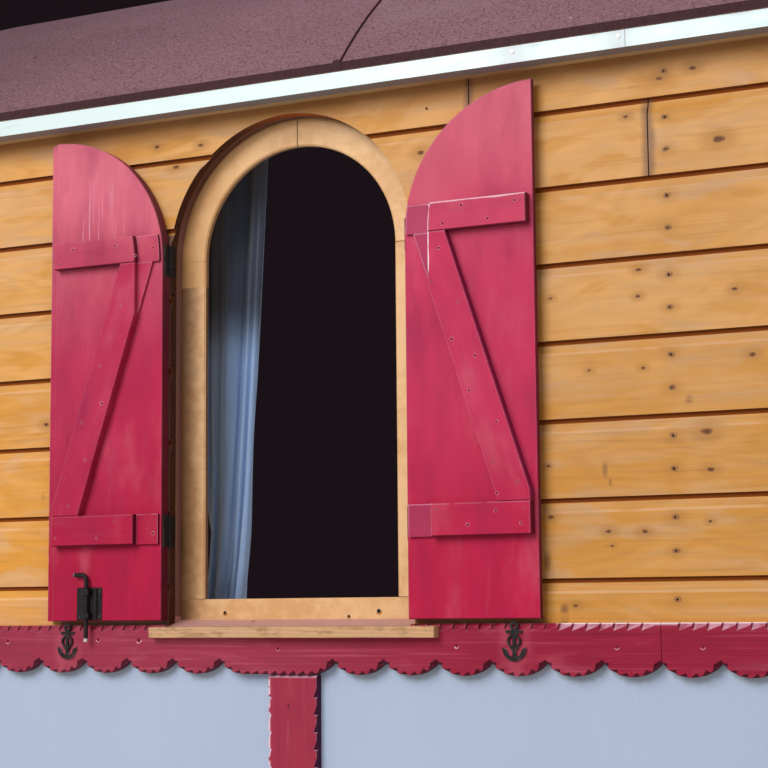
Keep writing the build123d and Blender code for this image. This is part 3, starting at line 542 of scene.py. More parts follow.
def stained_finish(name, c, along, number, lean=0.0, pale=None, deep=0.0, brushed=None, carved=False,
                   rubbed=False):
    """Raspberry stain over pine: crimson low down, paler rose higher up, between the heights in pale."""
    f = Finish(name, lean, Specular_IOR_Level=0.16)
    streaks, fibres, wander = grain(f, along, number, 1.3)
    slow = (6.0, 2.0, 30.0) if along == X else (30.0, 2.0, 5.0)
    strokes = f.cloud(slow, (number, number, 0.0), 4.0, 0.6, 0.5)
    patches = f.cloud((7.0, 2.0, 5.0), (number, 0.0, 0.0), 3.0, 0.55)
    across, _, up = f.true
    height = up + (patches - 0.5) * 0.16
    strength = 1.5 if carved else 1.0
    soft_scales = (9.0, 4.0, 22.0) if along == X else (22.0, 4.0, 9.0)
    body = c.cherry if carved else f.mix(c.crimson, c.raspberry, f.fade(height, 0.85, 1.25))
    if pale is not None:
        body = f.mix(body, c.rose, f.fade(height, *pale))
    # Painted shade: the left shutter darker low down, and deeper crimson low on its hinge side where the
    # brace's shadow falls
    if deep:
        body = f.shade(body, 1.0 - f.fade(height, 1.60, 1.48) * deep)
        hinge_side = f.fade(across + (patches - 0.5) * 0.1, -0.42, -0.29)
        body = f.mix(body, c.crimson, hinge_side * f.fade(height, 1.46, 1.22) * 0.5)
    soft = f.cloud(soft_scales, (number, 0.0, number))
    f.tint = f.mix(body, c.wine_stain_and_shade, f.fade(strokes, 0.48, 0.24) * 0.12 * strength)
    f.coat(c.rose, f.fade(strokes, 0.54, 0.80) * 0.22 * strength)
    f.coat(c.wine_stain_and_shade, f.fade(streaks, 0.42, 0.20) * 0.05 * strength)
    f.tone(1.0 + (fibres - 0.5) * 0.12 + (soft - 0.5) * 0.40)
    if not carved:
        haze = f.cloud((11.0, 4.0, 5.0), (0.0, number, number), 3.0, 0.55)
        f.coat(c.plum, f.fade(haze, 0.54, 0.28) * 0.36)
        f.coat(c.rose, f.fade(haze, 0.52, 0.76) * 0.32)
    if carved:
        lines = f.cloud((2.6, 2.0, 210.0) if along == X else (210.0, 2.0, 2.6), roughness=0.6, distortion=0.3)
        strong = 0.30 if along == X else 0.12
        f.coat(c.rose, f.fade(lines, 0.54, 0.72) * strong)
        f.coat(c.wine_stain_and_shade, f.fade(lines, 0.46, 0.28) * strong)
    if brushed is not None:
        near, far, low, high = brushed
        fine = f.cloud((230.0, 10.0, 5.0), (number, 0.0, 0.0), 3.0, 0.6)
        zone = f.fade(f.x, near, near + 0.05) * f.fade(f.x, far, far - 0.05)
        zone = zone * f.fade(f.z, low - 0.01, low + 0.01) * f.fade(f.z, high, high - 0.12)
        f.coat(c.lavender_and_highlight, f.fade(fine, 0.55, 0.68) * zone * 0.4)
    # Painted shade: faces that look right and downward take the dark stain colour
    shaded_faces = f.fade(f.facing[X], 0.4, 0.8).most(f.fade(f.facing[Z], -0.4, -0.8))
    if carved:
        shaded_faces = shaded_faces * f.fade(up, FRIEZE_TOP - 0.014, FRIEZE_TOP - 0.018) * 0.6
    side_shade_tint = c.brace_shade if lean and rubbed else c.wine_stain_and_shade
    f.coat(side_shade_tint, shaded_faces * (0.75 if not lean else 0.6 if rubbed else 0.10))
    if rubbed:
        f.coat(c.thin_stain, (across < THIN_CUT) * (1.0 - shaded_faces) * 0.45)
        # Painted highlight along the cut where the ledges thin out, and along the top ledge's upper edge
        wave = (f.noise(f.join(0.0, 0.0, up * 34.0), 1.0, 2.0) - 0.5) * 0.006
        cut = f.fade(abs(across + wave - THIN_CUT), 0.0034, 0.0016)
        cut = cut * f.fade(up, THIN_FOOT - 0.007, THIN_FOOT + 0.007)
        if along == X:
            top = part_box("right_ledges")[1][Z]
            rim = f.fade(up + (f.noise(f.place, 22.0, 2.0) - 0.5) * 0.004, top - 0.0036, top - 0.0020)
            cut = cut.most(rim * (across > THIN_CUT) * 0.55)
        f.coat(c.cut_highlight, cut * (1.0 - shaded_faces))
    # Pale edges in patches: partly wear, partly painted highlight, only where the edges face up and left
    edge, looks = f.arris(0.0036)
    chipped = edge * f.patchy(26.0, 0.30, 0.46, 2.0)
    lit = f.fade(looks[Z], 0.10, 0.40)
    if along == Z or not carved:
        lit = lit.most(f.fade(abs(looks[X]), 0.15, 0.45) * 0.75)
    bright = 0.35 if carved else 0.85 if rubbed else 0.45
    f.coat(c.lavender_and_highlight, chipped * lit * (1.0 - shaded_faces) * bright)
    return f, 0.52 + fibres * 0.14, fibres * 0.6 + strokes * 0.5 + wander * 0.2


def shutter_finish(name, c, along, number, **ways):
    """A piece of a shutter."""
    f, gloss, height = stained_finish(name, c, along, number, **ways)
    return f.settle(gloss, height, 0.0006)


def frieze_finish(c):
    """The carved board: painted highlight on the saw-tooth cuts right of the open right shutter, and painted
    shade in the nicks round the scallops.
    """
    f, gloss, height = stained_finish("frieze_stain", c, X, 7.0, carved=True)
    sloped = f.facet()
    # Painted highlight on the teeth's upward cut faces, right of the open right shutter
    high = f.fade(f.z, FRIEZE_TOP - 0.016, FRIEZE_TOP - 0.012) * f.fade(f.facing[Z], 0.2, 0.6)
    lit_run = f.fade(f.x, SHUTTER_SHADOW_END - 0.01, SHUTTER_SHADOW_END + 0.01)
    f.coat(c.lavender_and_highlight, sloped * high * lit_run * f.patchy(40.0, 0.2, 0.6) * 0.58)
    # Painted highlight along the teeth's top edge
    rim = f.fade(f.z, FRIEZE_TOP - 0.0022, FRIEZE_TOP - 0.0012)
    f.coat(c.tooth_rim, rim * lit_run * 0.85)
    f.coat(c.lavender_and_highlight, f.fade(f.x, 0.50, -0.10) * 0.045)
    smudge = f.patchy(30.0, 0.30, 0.60)
    for catch in ("catch_left", "catch_right"):
        start, end = (corner[X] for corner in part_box(catch))
        near = f.fade(abs(f.x - (start + end) / 2), 0.042, 0.014)
        f.coat(c.rose, near * smudge * 0.28)
    # Painted shade: the downward-facing cut faces near the scallops take the dark stain colour
    low = f.fade(f.z, SCALLOP_CUSP + 0.012, SCALLOP_CUSP + 0.006)
    f.coat(c.wine_stain_and_shade, sloped * low * f.fade(f.facing[Z], 0.3, -0.2) * 0.6)
    return f.settle(gloss, height, 0.0006)


def batten_finish(c):
    """The carved batten: painted highlight on the cuts facing left and up and on its left edge, painted shade
    on its right side, and three knots.
    """
    f, gloss, height = stained_finish("batten_stain", c, Z, 9.0, carved=True)
    sloped = f.facet()
    # Painted highlight on the cut faces that look left and up
    f.coat(c.lavender_and_highlight, sloped * f.fade(f.facing[X], -0.2, -0.6) * 0.8)
    f.coat(c.lavender_and_highlight, sloped * f.fade(f.facing[Z], 0.2, 0.6) * 0.5)
    f.coat(c.rose, f.fade(f.facing[Y], -0.9, -0.99) * 0.14)
    # Painted shade on the right-facing side
    f.coat(c.batten_shade, f.fade(f.facing[X], 0.2, 0.6) * 0.85)
    heart, _ = knots(f, BATTEN_KNOTS, 4.0)
    f.coat(c.wine_stain_and_shade, heart * 0.9)
    # Painted highlight along the left edge
    left_edge = f.fade(f.x, BATTEN_LEFT + 0.0045, BATTEN_LEFT + 0.0025)
    f.coat(c.batten_left_highlight, left_edge * f.patchy(60.0, 0.35, 0.5, 2.0) * 0.8)
    return f.settle(gloss, height - heart, 0.0006)


def panel_finish(c):
    """Grey-blue paint, brushed upright, lighter just under the scallops as painted light, with green stain
    under the scallops and at the foot.
    """
    f = Finish("panel_paint", Specular_IOR_Level=0.4)
    left = ((f.x - LONG_LEFT) / SCALLOP_PITCH).part()
    right = ((f.x - LONG_RIGHT) / SCALLOP_PITCH).part()
    phase = abs((left * (f.x < LONG_LEFT) + right * (f.x > LONG_RIGHT)) - 0.5) * 2.0
    edge = SCALLOP_TIP + (SCALLOP_CUSP - SCALLOP_TIP) * phase * phase
    below = edge - f.z
    runs = f.cloud((38.0, 10.0, 3.0), detail=4.0, roughness=0.6)
    cloud = f.cloud((3.0, 3.0, 2.4))
    brush = f.cloud((320.0, 90.0, 7.0), detail=2.0, roughness=0.6)
    f.tint = f.shade(c.panel, 0.98 + (cloud - 0.5) * 0.14 + (brush - 0.5) * 0.05)
    # Painted light: the paint lighter just under the scallops, against their shadow
    f.tone(1.0 + f.fade(below, 0.026, 0.004) * 0.28)
    stain = f.fade(below + (runs - 0.5) * 0.016, 0.020, 0.004)
    f.coat(c.algae, stain * 0.45)
    f.coat(c.algae, f.fade(runs, 0.52, 0.75) * f.fade(below, 0.16, 0.02) * 0.08)
    f.coat(c.algae, f.fade(f.z + (runs - 0.5) * 0.06, 0.16, 0.045) * 0.45)
    return f.settle(0.42 + (cloud - 0.5) * 0.2, brush * 0.6 + cloud * 0.4, 0.0005)


def felt_finish(c):
    """Mineral felt: coarse grit, pale chips, darker to the left as painted shade, a painted shadow line at
    the lap, and a dark turned-down edge, partly painted shade.
    """
    f = Finish("mineral_felt", Specular_IOR_Level=0.2)
    grit = f.noise(f.place, 560.0, 2.0, 0.8)
    coarse = f.noise(f.place, 170.0, 2.0, 0.7)
    cloud = f.cloud((2.0, 4.0, 4.0), roughness=0.6)
    away, lot = f.cells(f.place, 34.0)
    chips = f.fade(away, 0.085, 0.05) * (lot > 0.90)
    f.tint = f.mix(c.felt_grit_and_shade, c.felt, f.fade(grit * 0.6 + coarse * 0.4, 0.34, 0.56))
    # Painted shade: the felt darker towards the left
    far_left_shade = f.fade(f.x + (cloud - 0.5) * 0.5, SEAM + 0.15, -1.05)
    f.tone(1.06 + (cloud - 0.5) * 0.30 - far_left_shade * 0.36)
    worn = f.fade(f.x, SEAM - 0.004, SEAM + 0.02) * f.fade(f.x, 0.55, 0.10) * f.fade(cloud, 0.42, 0.60)
    f.coat(c.felt_worn, worn * 0.3)
    f.coat(c.felt_chip, chips * 0.85)
    # Painted shadow: a dark line under the upper sheet's edge at the lap
    seam = f.fade(abs(f.x - SEAM), 0.0030, 0.0010)
    f.coat(c.felt_grit_and_shade, seam * 0.9)
    # Dark turned-down front edge: partly the felt's own dark edge, partly painted shade
    edge = f.fade(f.facing[Y], -0.86, -0.96)
    f.coat(f.shade(c.felt_grit_and_shade, 0.45 + cloud * 0.3), edge * 0.9)
    return f.settle(0.88, grit * 0.7 + coarse * 0.6 + chips, 0.0018)


def drip_finish(c):
    """Rolled aluminium, brighter to the left as painted reflection and greyer to the right, dirty in places
    and smeared round two of its screws.
    """
    f = Finish("drip_aluminium", Metallic=0.25)
    rolled = f.cloud((3.0, 260.0, 260.0), roughness=0.6)
    dirt = f.cloud((14.0, 30.0, 60.0), detail=4.0, roughness=0.6)
    f.tint = f.shade(c.aluminium, 1.0 + (rolled - 0.5) * 0.05)
    f.coat(c.drip_dirt, f.fade(dirt, 0.60, 0.80) * 0.4)
    # Painted reflection: brighter towards the left; greyer towards the right
    f.tone(1.0 - f.fade(f.x, 0.30, 0.75) * 0.10 + f.fade(f.x, 0.0, -0.7) * 0.14)
    for place, wide in DRIP_SMEARS:
        smear = f.fade(abs(f.x - place) + dirt * 0.03, wide + 0.02, 0.01)
        f.coat(c.drip_smear, smear * 0.5)
    under = f.fade(f.facing[Z], -0.3, -0.8)
    f.coat(c.drip_under, under * 0.85)
    return f.settle(0.34 + dirt * 0.2, rolled, 0.0002)


def iron_finish(name, c, brown, bright):
    """Black iron with a brown bloom, bright on its edges: partly rubbed wear, partly painted glint."""
    f = Finish(name, Metallic=0.35, Specular_IOR_Level=0.35)
    lumps = f.noise(f.place, 180.0, 3.0, 0.6)
    bloom = f.noise(f.place, 55.0, 3.0, 0.6)
    f.tint = f.mix(c.iron, c.rust, f.fade(bloom, 0.42, 0.66) * brown)
    # Bright edges: partly rubbed wear, partly painted glint
    edge = f.worn_and_lit_arris(0.0007) * f.fade(bloom, 0.36, 0.56)
    f.coat(c.worn, edge * bright)
    return f, 0.50 - edge * 0.15 + lumps * 0.15, lumps


def plain_iron(name, c, brown=0.4, bright=0.35):
    """Black iron with nothing more."""
    f, gloss, height = iron_finish(name, c, brown, bright)
    return f.settle(gloss, height, 0.0004)


def bolt_rod_finish(c):
    """Black iron, rubbed bright at its foot, with a painted highlight at the end of its handle."""
    f, gloss, height = iron_finish("bolt_rod_iron", c, 0.2, 0.8)
    # Painted highlight at the handle's end; rubbed bright at the foot
    handle_end = f.fade(f.x, BOLT_HANDLE + 0.001, BOLT_HANDLE - 0.001)
    tip = f.fade(f.z, BOLT_FOOT + 0.002, BOLT_FOOT - 0.002).most(handle_end)
    f.coat(c.bolt_tip, tip * f.fade(f.z, 0.82, 0.78) * 0.9)
    f.coat(c.worn, tip * 0.25)
    return f.settle(gloss, height, 0.0004)


def catch_finish(c):
    """Brown cast iron, with the flukes bright where they face right: partly wear, partly painted highlight.
    """
    f, gloss, height = iron_finish("catch_iron", c, 0.75, 0.45)
    # Bright flukes: partly wear, partly painted highlight
    fluke = f.fade(f.z, *FLUKES) * f.patchy(110.0, 0.46, 0.62, 2.0)
    f.coat(c.worn, fluke * f.fade(f.facing[X], 0.0, 0.5) * 0.8)
    return f.settle(gloss, height, 0.0004)


def brass_finish(c):
    """Dull brass."""
    f = Finish("rod_brass", Metallic=0.9)
    dull = f.noise(f.place, 70.0, 3.0, 0.6)
    f.tint = f.shade(c.brass, 0.85 + dull * 0.35)
    return f.settle(0.28 + dull * 0.25, dull, 0.0002)


def cloth_finish(c):
    """Plain weave on the curtain's own map, with slubs, soft fading, and painted shade over the top of its
    front.
    """
    f = Finish("curtain_cloth", Specular_IOR_Level=0.2, Sheen_Weight=0.25)
    across, along, _ = f.split(f.node("ShaderNodeTexCoord", output="UV"))
    weft, warp = (across / 0.0011).wave(), (along / 0.0011).wave()
    slub = f.noise(f.join(across * 60.0, along * 900.0, 0.0), 1.0, 2.0, 0.6)
    cloud = f.noise(f.place, 6.0, 2.0)
    weave = weft * warp * 0.5 + slub * 0.5 + (cloud - 0.5) * 0.3
    f.tint = f.mix(c.cloth_deep, c.cloth, f.fade(weave, 0.1, 0.6))
    # Painted shade of the dark room over the top of the curtain's front
    room_shade = f.fade(f.z + (cloud - 0.5) * 0.10, 1.275, 1.42) * f.fade(f.facing[Y], 0.1, -0.1)
    f.coat(c.cloth_shade, room_shade * 0.9)
    return f.settle(0.85, weft + warp + slub * 0.6, 0.0003)


def specked(name, tint, low, spread, scale, gloss=0.6, **constants):
    """One colour, lighter and darker in fine specks."""
    f = Finish(name, **constants)
    f.tint = f.shade(tint, low + f.noise(f.place, scale) * spread)
    return f.settle(gloss)


def torn_fibres(name, dark, light, low, high, scale):
    """Lifted fibres in two tones."""
    f = Finish(name, Specular_IOR_Level=0.3)
    f.tint = f.mix(dark, light, f.patchy(scale, low, high))
    return f.settle(0.6)


def dress(finish, *names):
    """Gives CAD nodes a finish."""
    for name in names:
        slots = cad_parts[name].material_slots
        if not slots:
            raise RuntimeError(f"{name} has no material slot")
        for slot in slots:
            slot.material = finish


def settings():
    bay = bpy.context.scene.wagon_bay
    return bay.colours, bay.sizes


def put(name, data):
    """A new object in the scene."""
    made = bpy.data.objects.new(name, data)
    bpy.context.collection.objects.link(made)
    return made


def piece(name, mesh, body, finish):
    """An object at the origin that rides on a body."""
    made = put(name, mesh)
    mesh.materials.clear()
    mesh.materials.append(finish)
    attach(made, body)
    return made


class Repeat:
    """A Geometry Nodes tree that sets a small shape on each point of a mesh."""

    def __init__(self, name):
        self.tree = bpy.data.node_groups.new(name, "GeometryNodeTree")
        face = self.tree.interface
        face.new_socket("Geometry", in_out="OUTPUT", socket_type="NodeSocketGeometry")
        for label, kind in (
                ("Geometry", "Geometry"), ("Radius", "Float"), ("Inner radius", "Float"), ("Depth", "Float"),
                ("Turn", "Rotation"), ("Least size", "Float"), ("Most size", "Float"), ("Spin", "Float"),
                ("Seed", "Int"), ("Finish", "Material")):
            face.new_socket(label, in_out="INPUT", socket_type=f"NodeSocket{kind}")
        self.given = self.tree.nodes.new("NodeGroupInput")
        self.made = self.tree.nodes.new("NodeGroupOutput")

    def size(self, label):
        return self.given.outputs[label]

    def node(self, kind, settings=(), inputs=(), output=0):
        return add_node(self.tree, kind, settings, inputs).outputs[output]

    def maths(self, operation, first, second):
        return self.node("ShaderNodeMath", {"operation": operation}, {0: first, 1: second})

    def between(self, low, high):
        """A random number for each point."""
        return self.node("FunctionNodeRandomValue", {"data_type": "FLOAT"}, {
            "Min": low, "Max": high, "Seed": self.size("Seed")}, "Value")

    def close(self, shape):
        """Instances the shape, with a little random size and spin, as one mesh of one finish."""
        size = self.between(self.size("Least size"), self.size("Most size"))
        spin = self.between(0.0, self.size("Spin"))
        about = self.node("ShaderNodeCombineXYZ", {}, {"Z": spin})
        turned = self.node("FunctionNodeEulerToRotation", {}, {0: about})
        whole = self.node("FunctionNodeRotateRotation", {"rotation_space": "LOCAL"}, {
            0: self.size("Turn"), 1: turned})
        placed = self.node("GeometryNodeInstanceOnPoints", {}, {
            "Points": self.size("Geometry"), "Instance": shape, "Rotation": whole, "Scale": size})
        real = self.node("GeometryNodeRealizeInstances", {}, {0: placed})
        done = self.node("GeometryNodeSetMaterial", {}, {
            "Geometry": real, "Material": self.size("Finish")})
        feed(self.made, {0: done})


def sunk_head(repeat):
    """A dished disc, below the surface round it."""
    return repeat.node("GeometryNodeMeshCone", {"fill_type": "NGON"}, {
        "Vertices": 9, "Side Segments": 1, "Radius Top": repeat.size("Inner radius"),
        "Radius Bottom": repeat.size("Radius"), "Depth": repeat.size("Depth")}, "Mesh")


def wire_on(repeat, path):
    """A round wire along a path."""
    section = repeat.node("GeometryNodeCurvePrimitiveCircle", {"mode": "RADIUS"}, {
        "Resolution": 6, "Radius": repeat.size("Depth")}, "Curve")
    return repeat.node("GeometryNodeCurveToMesh", {}, {
        "Curve": path, "Profile Curve": section, "Fill Caps": True})


def rim(repeat):
    """A thin ring of wire."""
    return wire_on(repeat, repeat.node("GeometryNodeCurvePrimitiveCircle", {"mode": "RADIUS"}, {
        "Resolution": 14, "Radius": repeat.size("Radius")}, "Curve"))


def chip_and_glint(repeat):
    """A crescent on a hole's lower side: partly lifted fibres, partly painted glint."""
    return wire_on(repeat, repeat.node("GeometryNodeCurveArc", {"mode": "RADIUS"}, {
        "Resolution": 8, "Radius": repeat.size("Radius"), "Start Angle": -2.9, "Sweep Angle": 2.6}, "Curve"))


def slotted_head(repeat):
    """A low screw head with a slot across it."""
    head = repeat.node("GeometryNodeMeshCylinder", {"fill_type": "NGON"}, {
        "Vertices": 14, "Radius": repeat.size("Radius"), "Depth": repeat.size("Depth")}, "Mesh")
    size = repeat.node("ShaderNodeCombineXYZ", {}, {
        "X": repeat.maths("MULTIPLY", repeat.size("Radius"), 2.6),
        "Y": repeat.maths("MULTIPLY", repeat.size("Radius"), 0.34),
        "Z": repeat.size("Depth")})
    slot = repeat.node("GeometryNodeMeshCube", {}, {"Size": size}, "Mesh")
    lift = repeat.node("ShaderNodeCombineXYZ", {}, {
        "Z": repeat.maths("MULTIPLY", repeat.size("Depth"), 0.62)})
    raised = repeat.node("GeometryNodeTransform", {}, {"Geometry": slot, "Translation": lift})
    return repeat.node("GeometryNodeMeshBoolean", {"operation": "DIFFERENCE", "solver": "EXACT"}, {
        "Mesh 1": head, "Mesh 2": raised}, "Mesh")


OUTWARD = (math.pi / 2, 0.0, 0.0)       # the shape's own Z towards the viewer
ALONG = (0.0, math.pi / 2, 0.0)


def scatter(name, shape, points, body, finish, radius, depth, inner=0.0, turn=OUTWARD,
            least=1.0, most=1.0, spin=math.tau, seed=1):
    """One shape at each point, made a plain mesh on one body."""
    repeat = Repeat(f"{name}_tree")
    repeat.close(shape(repeat))
    cloud = bpy.data.meshes.new(f"{name}_points")
    cloud.from_pydata([Vector(point) for point in points], [], [])
    carrier = put(f"{name}_carrier", cloud)
    modifier = carrier.modifiers.new("repeat", "NODES")
    modifier.node_group = repeat.tree
    values = {"Radius": radius, "Inner radius": inner, "Depth": depth, "Turn": turn,
              "Least size": least, "Most size": most, "Spin": spin, "Seed": seed, "Finish": finish}
    for item in repeat.tree.interface.items_tree:
        if item.in_out == "INPUT" and item.name in values:
            modifier[item.identifier] = values[item.name]
    bpy.context.view_layer.update()
    evaluated = carrier.evaluated_get(bpy.context.evaluated_depsgraph_get())
    mesh = bpy.data.meshes.new_from_object(evaluated)
    carrier.modifiers.remove(modifier)
    bpy.data.objects.remove(carrier)
    if not mesh.polygons:
        raise RuntimeError(f"{name} came out empty")
    mesh.name = name
    return piece(name, mesh, body, finish)


# Nails that show on the shutters: place along the wall and height, in millimetres
RIGHT_NAILS = (
    (377, 1518), (479, 1516), (427, 1489), (340, 1488), (332, 1445), (318, 1388), (369, 1345),
    (355, 1280), (399, 1248), (387, 1187), (438, 1130), (430, 1061), (475, 1025), (437, 1006),
    (323, 982), (434, 976), (485, 980), (480, 954), (381, 953))
LEFT_NAILS = (
    (-455, 1514), (-408, 1486), (-356, 1513), (-485, 1487), (-309, 1489), (-340, 1395), (-330, 1325),
    (-388, 1280), (-383, 1207), (-428, 1172), (-420, 1100), (-470, 1064), (-458, 1012),
    (-352, 978), (-392, 948), (-488, 950))
LEFT_THIN_NAILS = ((-276, 1504), (-272, 955))
FRIEZE_SCREWS = (
    (-830, 750), (-616, 753), (-403, 756), (-311, 755), (-10, 739), (346, 745), (639, 743), (787, 743),
    (940, 748))
CASING_HOLES = ((165, 806), (-159, 805), (104, 797))
PLATE_SCREWS = ((-441, 800), (-441, 848), (-394, 800), (-394, 848))
DRIP_SCREWS = ((-975, 1778), (485, 1778), (680, 1778), (975, 1778))
CLADDING_NAILS = tuple(
    (side * 1000 * line, 1000 * (BOARD_BOTTOM + course * BOARD_COVER + row))
    for side in (-1, 1) for line in (NAIL_LINE, END_NAIL_LINE) for course in range(8) for row in NAIL_ROWS
    if 0 < course * 2 + NAIL_ROWS.index(row) < 15) + ((291, 1714), (-298, 1600))


def at_depth(table, y):
    """The places of a table, in metres, on a face at depth y."""
    return [(x / 1000, y, z / 1000) for x, z in table]


class BAY_OT_wall(bpy.types.Operator):
    """Finish the boards, the window's joinery and the lower wall"""
    bl_idname = "bay.wall"
    bl_label = "Wall and window joinery"

    def execute(self, context):
        c, _ = settings()
        dress(cladding_finish(c), *[f"board_{course}" for course in range(1, 9)])
        dress(casing_finish("casing_upright", c, Z, 1.0), "casing_jambs")
        dress(casing_finish("casing_level", c, X, 2.0), "casing_arch", "casing_rail")
        dress(pine_finish("sill_strip", c.sill, c.casing_deep, X, 3.0, 0.007, 0.0025, c.mould),
              "sill_strip")
        dress(reveal_finish(c), "window_lining", "window_sill")
        dress(panel_finish(c), "lower_panel")
        return {"FINISHED"}


class BAY_OT_frame(bpy.types.Operator):
    """Finish the framing and the room side of the wall"""
    bl_idname = "bay.frame"
    bl_label = "Framing and room side"

    def execute(self, context):
        c, _ = settings()
        upright = pine_finish("spruce_upright", c.spruce, c.spruce_deep, Z, 5.0, 0.006)
        level = pine_finish("spruce_level", c.spruce, c.spruce_deep, X, 6.0, 0.006)
        crosswise = pine_finish("spruce_crosswise", c.spruce, c.spruce_deep, Y, 8.0, 0.006)
        matchboard = pine_finish("room_matchboard", c.casing, c.casing_deep, X, 11.0, 0.008, groove=0.098)
        dress(upright, "wall_studs")
        dress(level, "rails", "top_plate", "sole_plate", "purlin", "fascia", "soffit", "eaves_filler")
        dress(crosswise, "bows")
        dress(matchboard, "inner_boards_low", "inner_boards_sides", "inner_boards_top")
        dress(pine_finish("inner_joinery", c.casing, c.casing_deep, X, 12.0), "inner_reveal", "inner_sill")
        return {"FINISHED"}


class BAY_OT_stained_work(bpy.types.Operator):
    """Stain the shutters, the frieze and the batten"""
    bl_idname = "bay.stained_work"
    bl_label = "Stained shutters and frieze"

    def execute(self, context):
        c, _ = settings()
        lean = math.atan(BRACE_SLOPE)
        brushed = (-0.480, -0.330, 1.530, 1.690)        # left, right, foot and top of the brush marks
        for finish, name, along, number, ways in (
                ("left_board", "left_shutter", Z, 20.0, {
                    "pale": (1.24, 1.70), "deep": 0.14, "brushed": brushed}),
                ("left_ledge", "left_ledges", X, 21.0, {"pale": (1.30, 1.78), "deep": 0.14}),
                ("left_brace", "left_brace", Z, 22.0, {"lean": -lean, "deep": 0.14}),
                ("right_board", "right_shutter", Z, 30.0, {"pale": (1.30, 1.90)}),
                ("right_ledge", "right_ledges", X, 31.0, {"pale": (1.30, 2.10), "rubbed": True}),
                ("right_brace", "right_brace", Z, 32.0, {"lean": lean, "rubbed": True})):
            dress(shutter_finish(f"{finish}_stain", c, along, number, **ways), name)
        dress(frieze_finish(c), "frieze_left", "frieze_right")
        dress(batten_finish(c), "batten")
        return {"FINISHED"}


class BAY_OT_roof(bpy.types.Operator):
    """Finish the felt, the deck and the drip edge"""
    bl_idname = "bay.roof"
    bl_label = "Roof edge"

    def execute(self, context):
        c, _ = settings()
        dress(felt_finish(c), "roof_felt_left", "roof_felt_right")
        dress(pine_finish("deck_boards", c.spruce, c.spruce_deep, X, 14.0, 0.008), "roof_deck")
        dress(drip_finish(c), "drip_left", "drip_right")
        return {"FINISHED"}


class BAY_OT_ironwork(bpy.types.Operator):
    """Finish the hinges, the bolt, the catches and the curtain rod"""
    bl_idname = "bay.ironwork"
    bl_label = "Ironwork"

    def execute(self, context):
        c, _ = settings()
        dress(plain_iron("hinge_iron", c), *[
            f"{side}_hinge_{leaf}" for side in ("left", "right") for leaf in ("wall", "shutter")])
        dress(plain_iron("bolt_plate_iron", c, 0.15, 0.25), "bolt_plate")
        dress(bolt_rod_finish(c), "bolt_rod")
        dress(catch_finish(c), "catch_left", "catch_right")
        dress(brass_finish(c), "curtain_rod", "rod_brackets")
        return {"FINISHED"}


class BAY_OT_nails(bpy.types.Operator):
    """Set the nails of the shutters and cladding and the screw holes of the frieze and casing"""
    bl_idname = "bay.nails"
    bl_label = "Nails and screws"

    def execute(self, context):
        c, s = settings()
        dark = plain_iron("nail_iron", c, 0.8, 0.2)
        hole = specked("stained_hole", c.cherry, 0.30, 0.6, 90.0, Specular_IOR_Level=0.2)
        sunk = specked("sunk_nail", c.knot, 0.2, 0.6, 250.0, Specular_IOR_Level=0.1)
        pale = torn_fibres("lifted_fibres", c.rose, c.lavender_and_highlight, 0.46, 0.70, 260.0)
        bare = torn_fibres("bare_fibres", c.amber, c.honey, 0.40, 0.66, 300.0)
        groups = (
            ("right_shutter_nails", RIGHT_NAILS, LEDGE_FACE, "right_shutter", s.nail, hole, pale, 0.0),
            ("left_shutter_nails", LEFT_NAILS, LEDGE_FACE, "left_shutter", s.nail, hole, pale, 0.0),
            ("left_thin_nails", LEFT_THIN_NAILS, THIN_LEDGE_FACE, "left_shutter", s.nail, hole, pale, 0.0),
            ("frieze_screws", FRIEZE_SCREWS, FRIEZE_FACE, "wall", s.screw, hole, pale, 0.0),
            ("casing_holes", CASING_HOLES, CASING_FACE, "wall", s.screw, dark, bare, 0.0),
            ("cladding_nails", CLADDING_NAILS, 0.0, "wall", s.nail * 1.05, sunk, bare, -math.pi / 2))
        for seed, (name, table, y, body, head, middle, chips, turn) in enumerate(groups, 3):
            points = at_depth(table, y)
            scatter(name, sunk_head, points, body, middle, head, head * 0.3, head * 0.55,
                    least=0.7, most=1.15, seed=seed)
            # Shutter nails get a pale ring; the others a pale crescent low on the hole, partly lifted fibres
            # and partly painted glint
            ring = "shutter" in body
            scatter(f"{name}_chips", rim if ring else chip_and_glint, points, body, chips, head * 1.3,
                    head * (0.20 if ring else 0.34), turn=(math.pi / 2, turn, 0.0), least=0.7, most=1.2,
                    spin=0.5, seed=seed)
        return {"FINISHED"}


class BAY_OT_iron_screws(bpy.types.Operator):
    """Screw down the bolt plate and the drip edge"""
    bl_idname = "bay.iron_screws"
    bl_label = "Screws of the ironwork"

    def execute(self, context):
        c, s = settings()
        dark = plain_iron("screw_iron", c, 0.5, 0.6)
        zinc = specked("zinc_screw", c.worn, 0.6, 0.5, 200.0, 0.4, Metallic=0.8)
        scatter("bolt_plate_screws", slotted_head, at_depth(PLATE_SCREWS, PLATE_FACE), "left_shutter",
                dark, s.plate_screw, 0.0016, spin=1.2, seed=11)
        scatter("drip_screws", slotted_head, at_depth(DRIP_SCREWS, DRIP_FACE), "wall", zinc,
                s.drip_screw, 0.0022, spin=1.2, seed=12)
        return {"FINISHED"}


def folded_row(width, span, folds, points, lean):
    """A row of cloth of a flat width gathered into folds over a span: offsets along and in depth."""
    def path(depth):
        steps = []
        for i in range(points):
            t = i / (points - 1)
            turn = folds * t + 0.10 * math.sin(math.tau * 1.3 * t) + lean
            swing = math.sin(math.tau * turn) * (1.0 - 0.45 * math.sin(math.pi * t) ** 2)
            steps.append((span * t, depth * swing))
        return steps

    def run(depth):
        row = path(depth)
        return sum(math.dist(a, b) for a, b in zip(row, row[1:]))
    low, high = 0.0, 0.05
    for _ in range(30):
        middle = (low + high) / 2
        low, high = (middle, high) if run(middle) < width else (low, middle)
    return path(low)


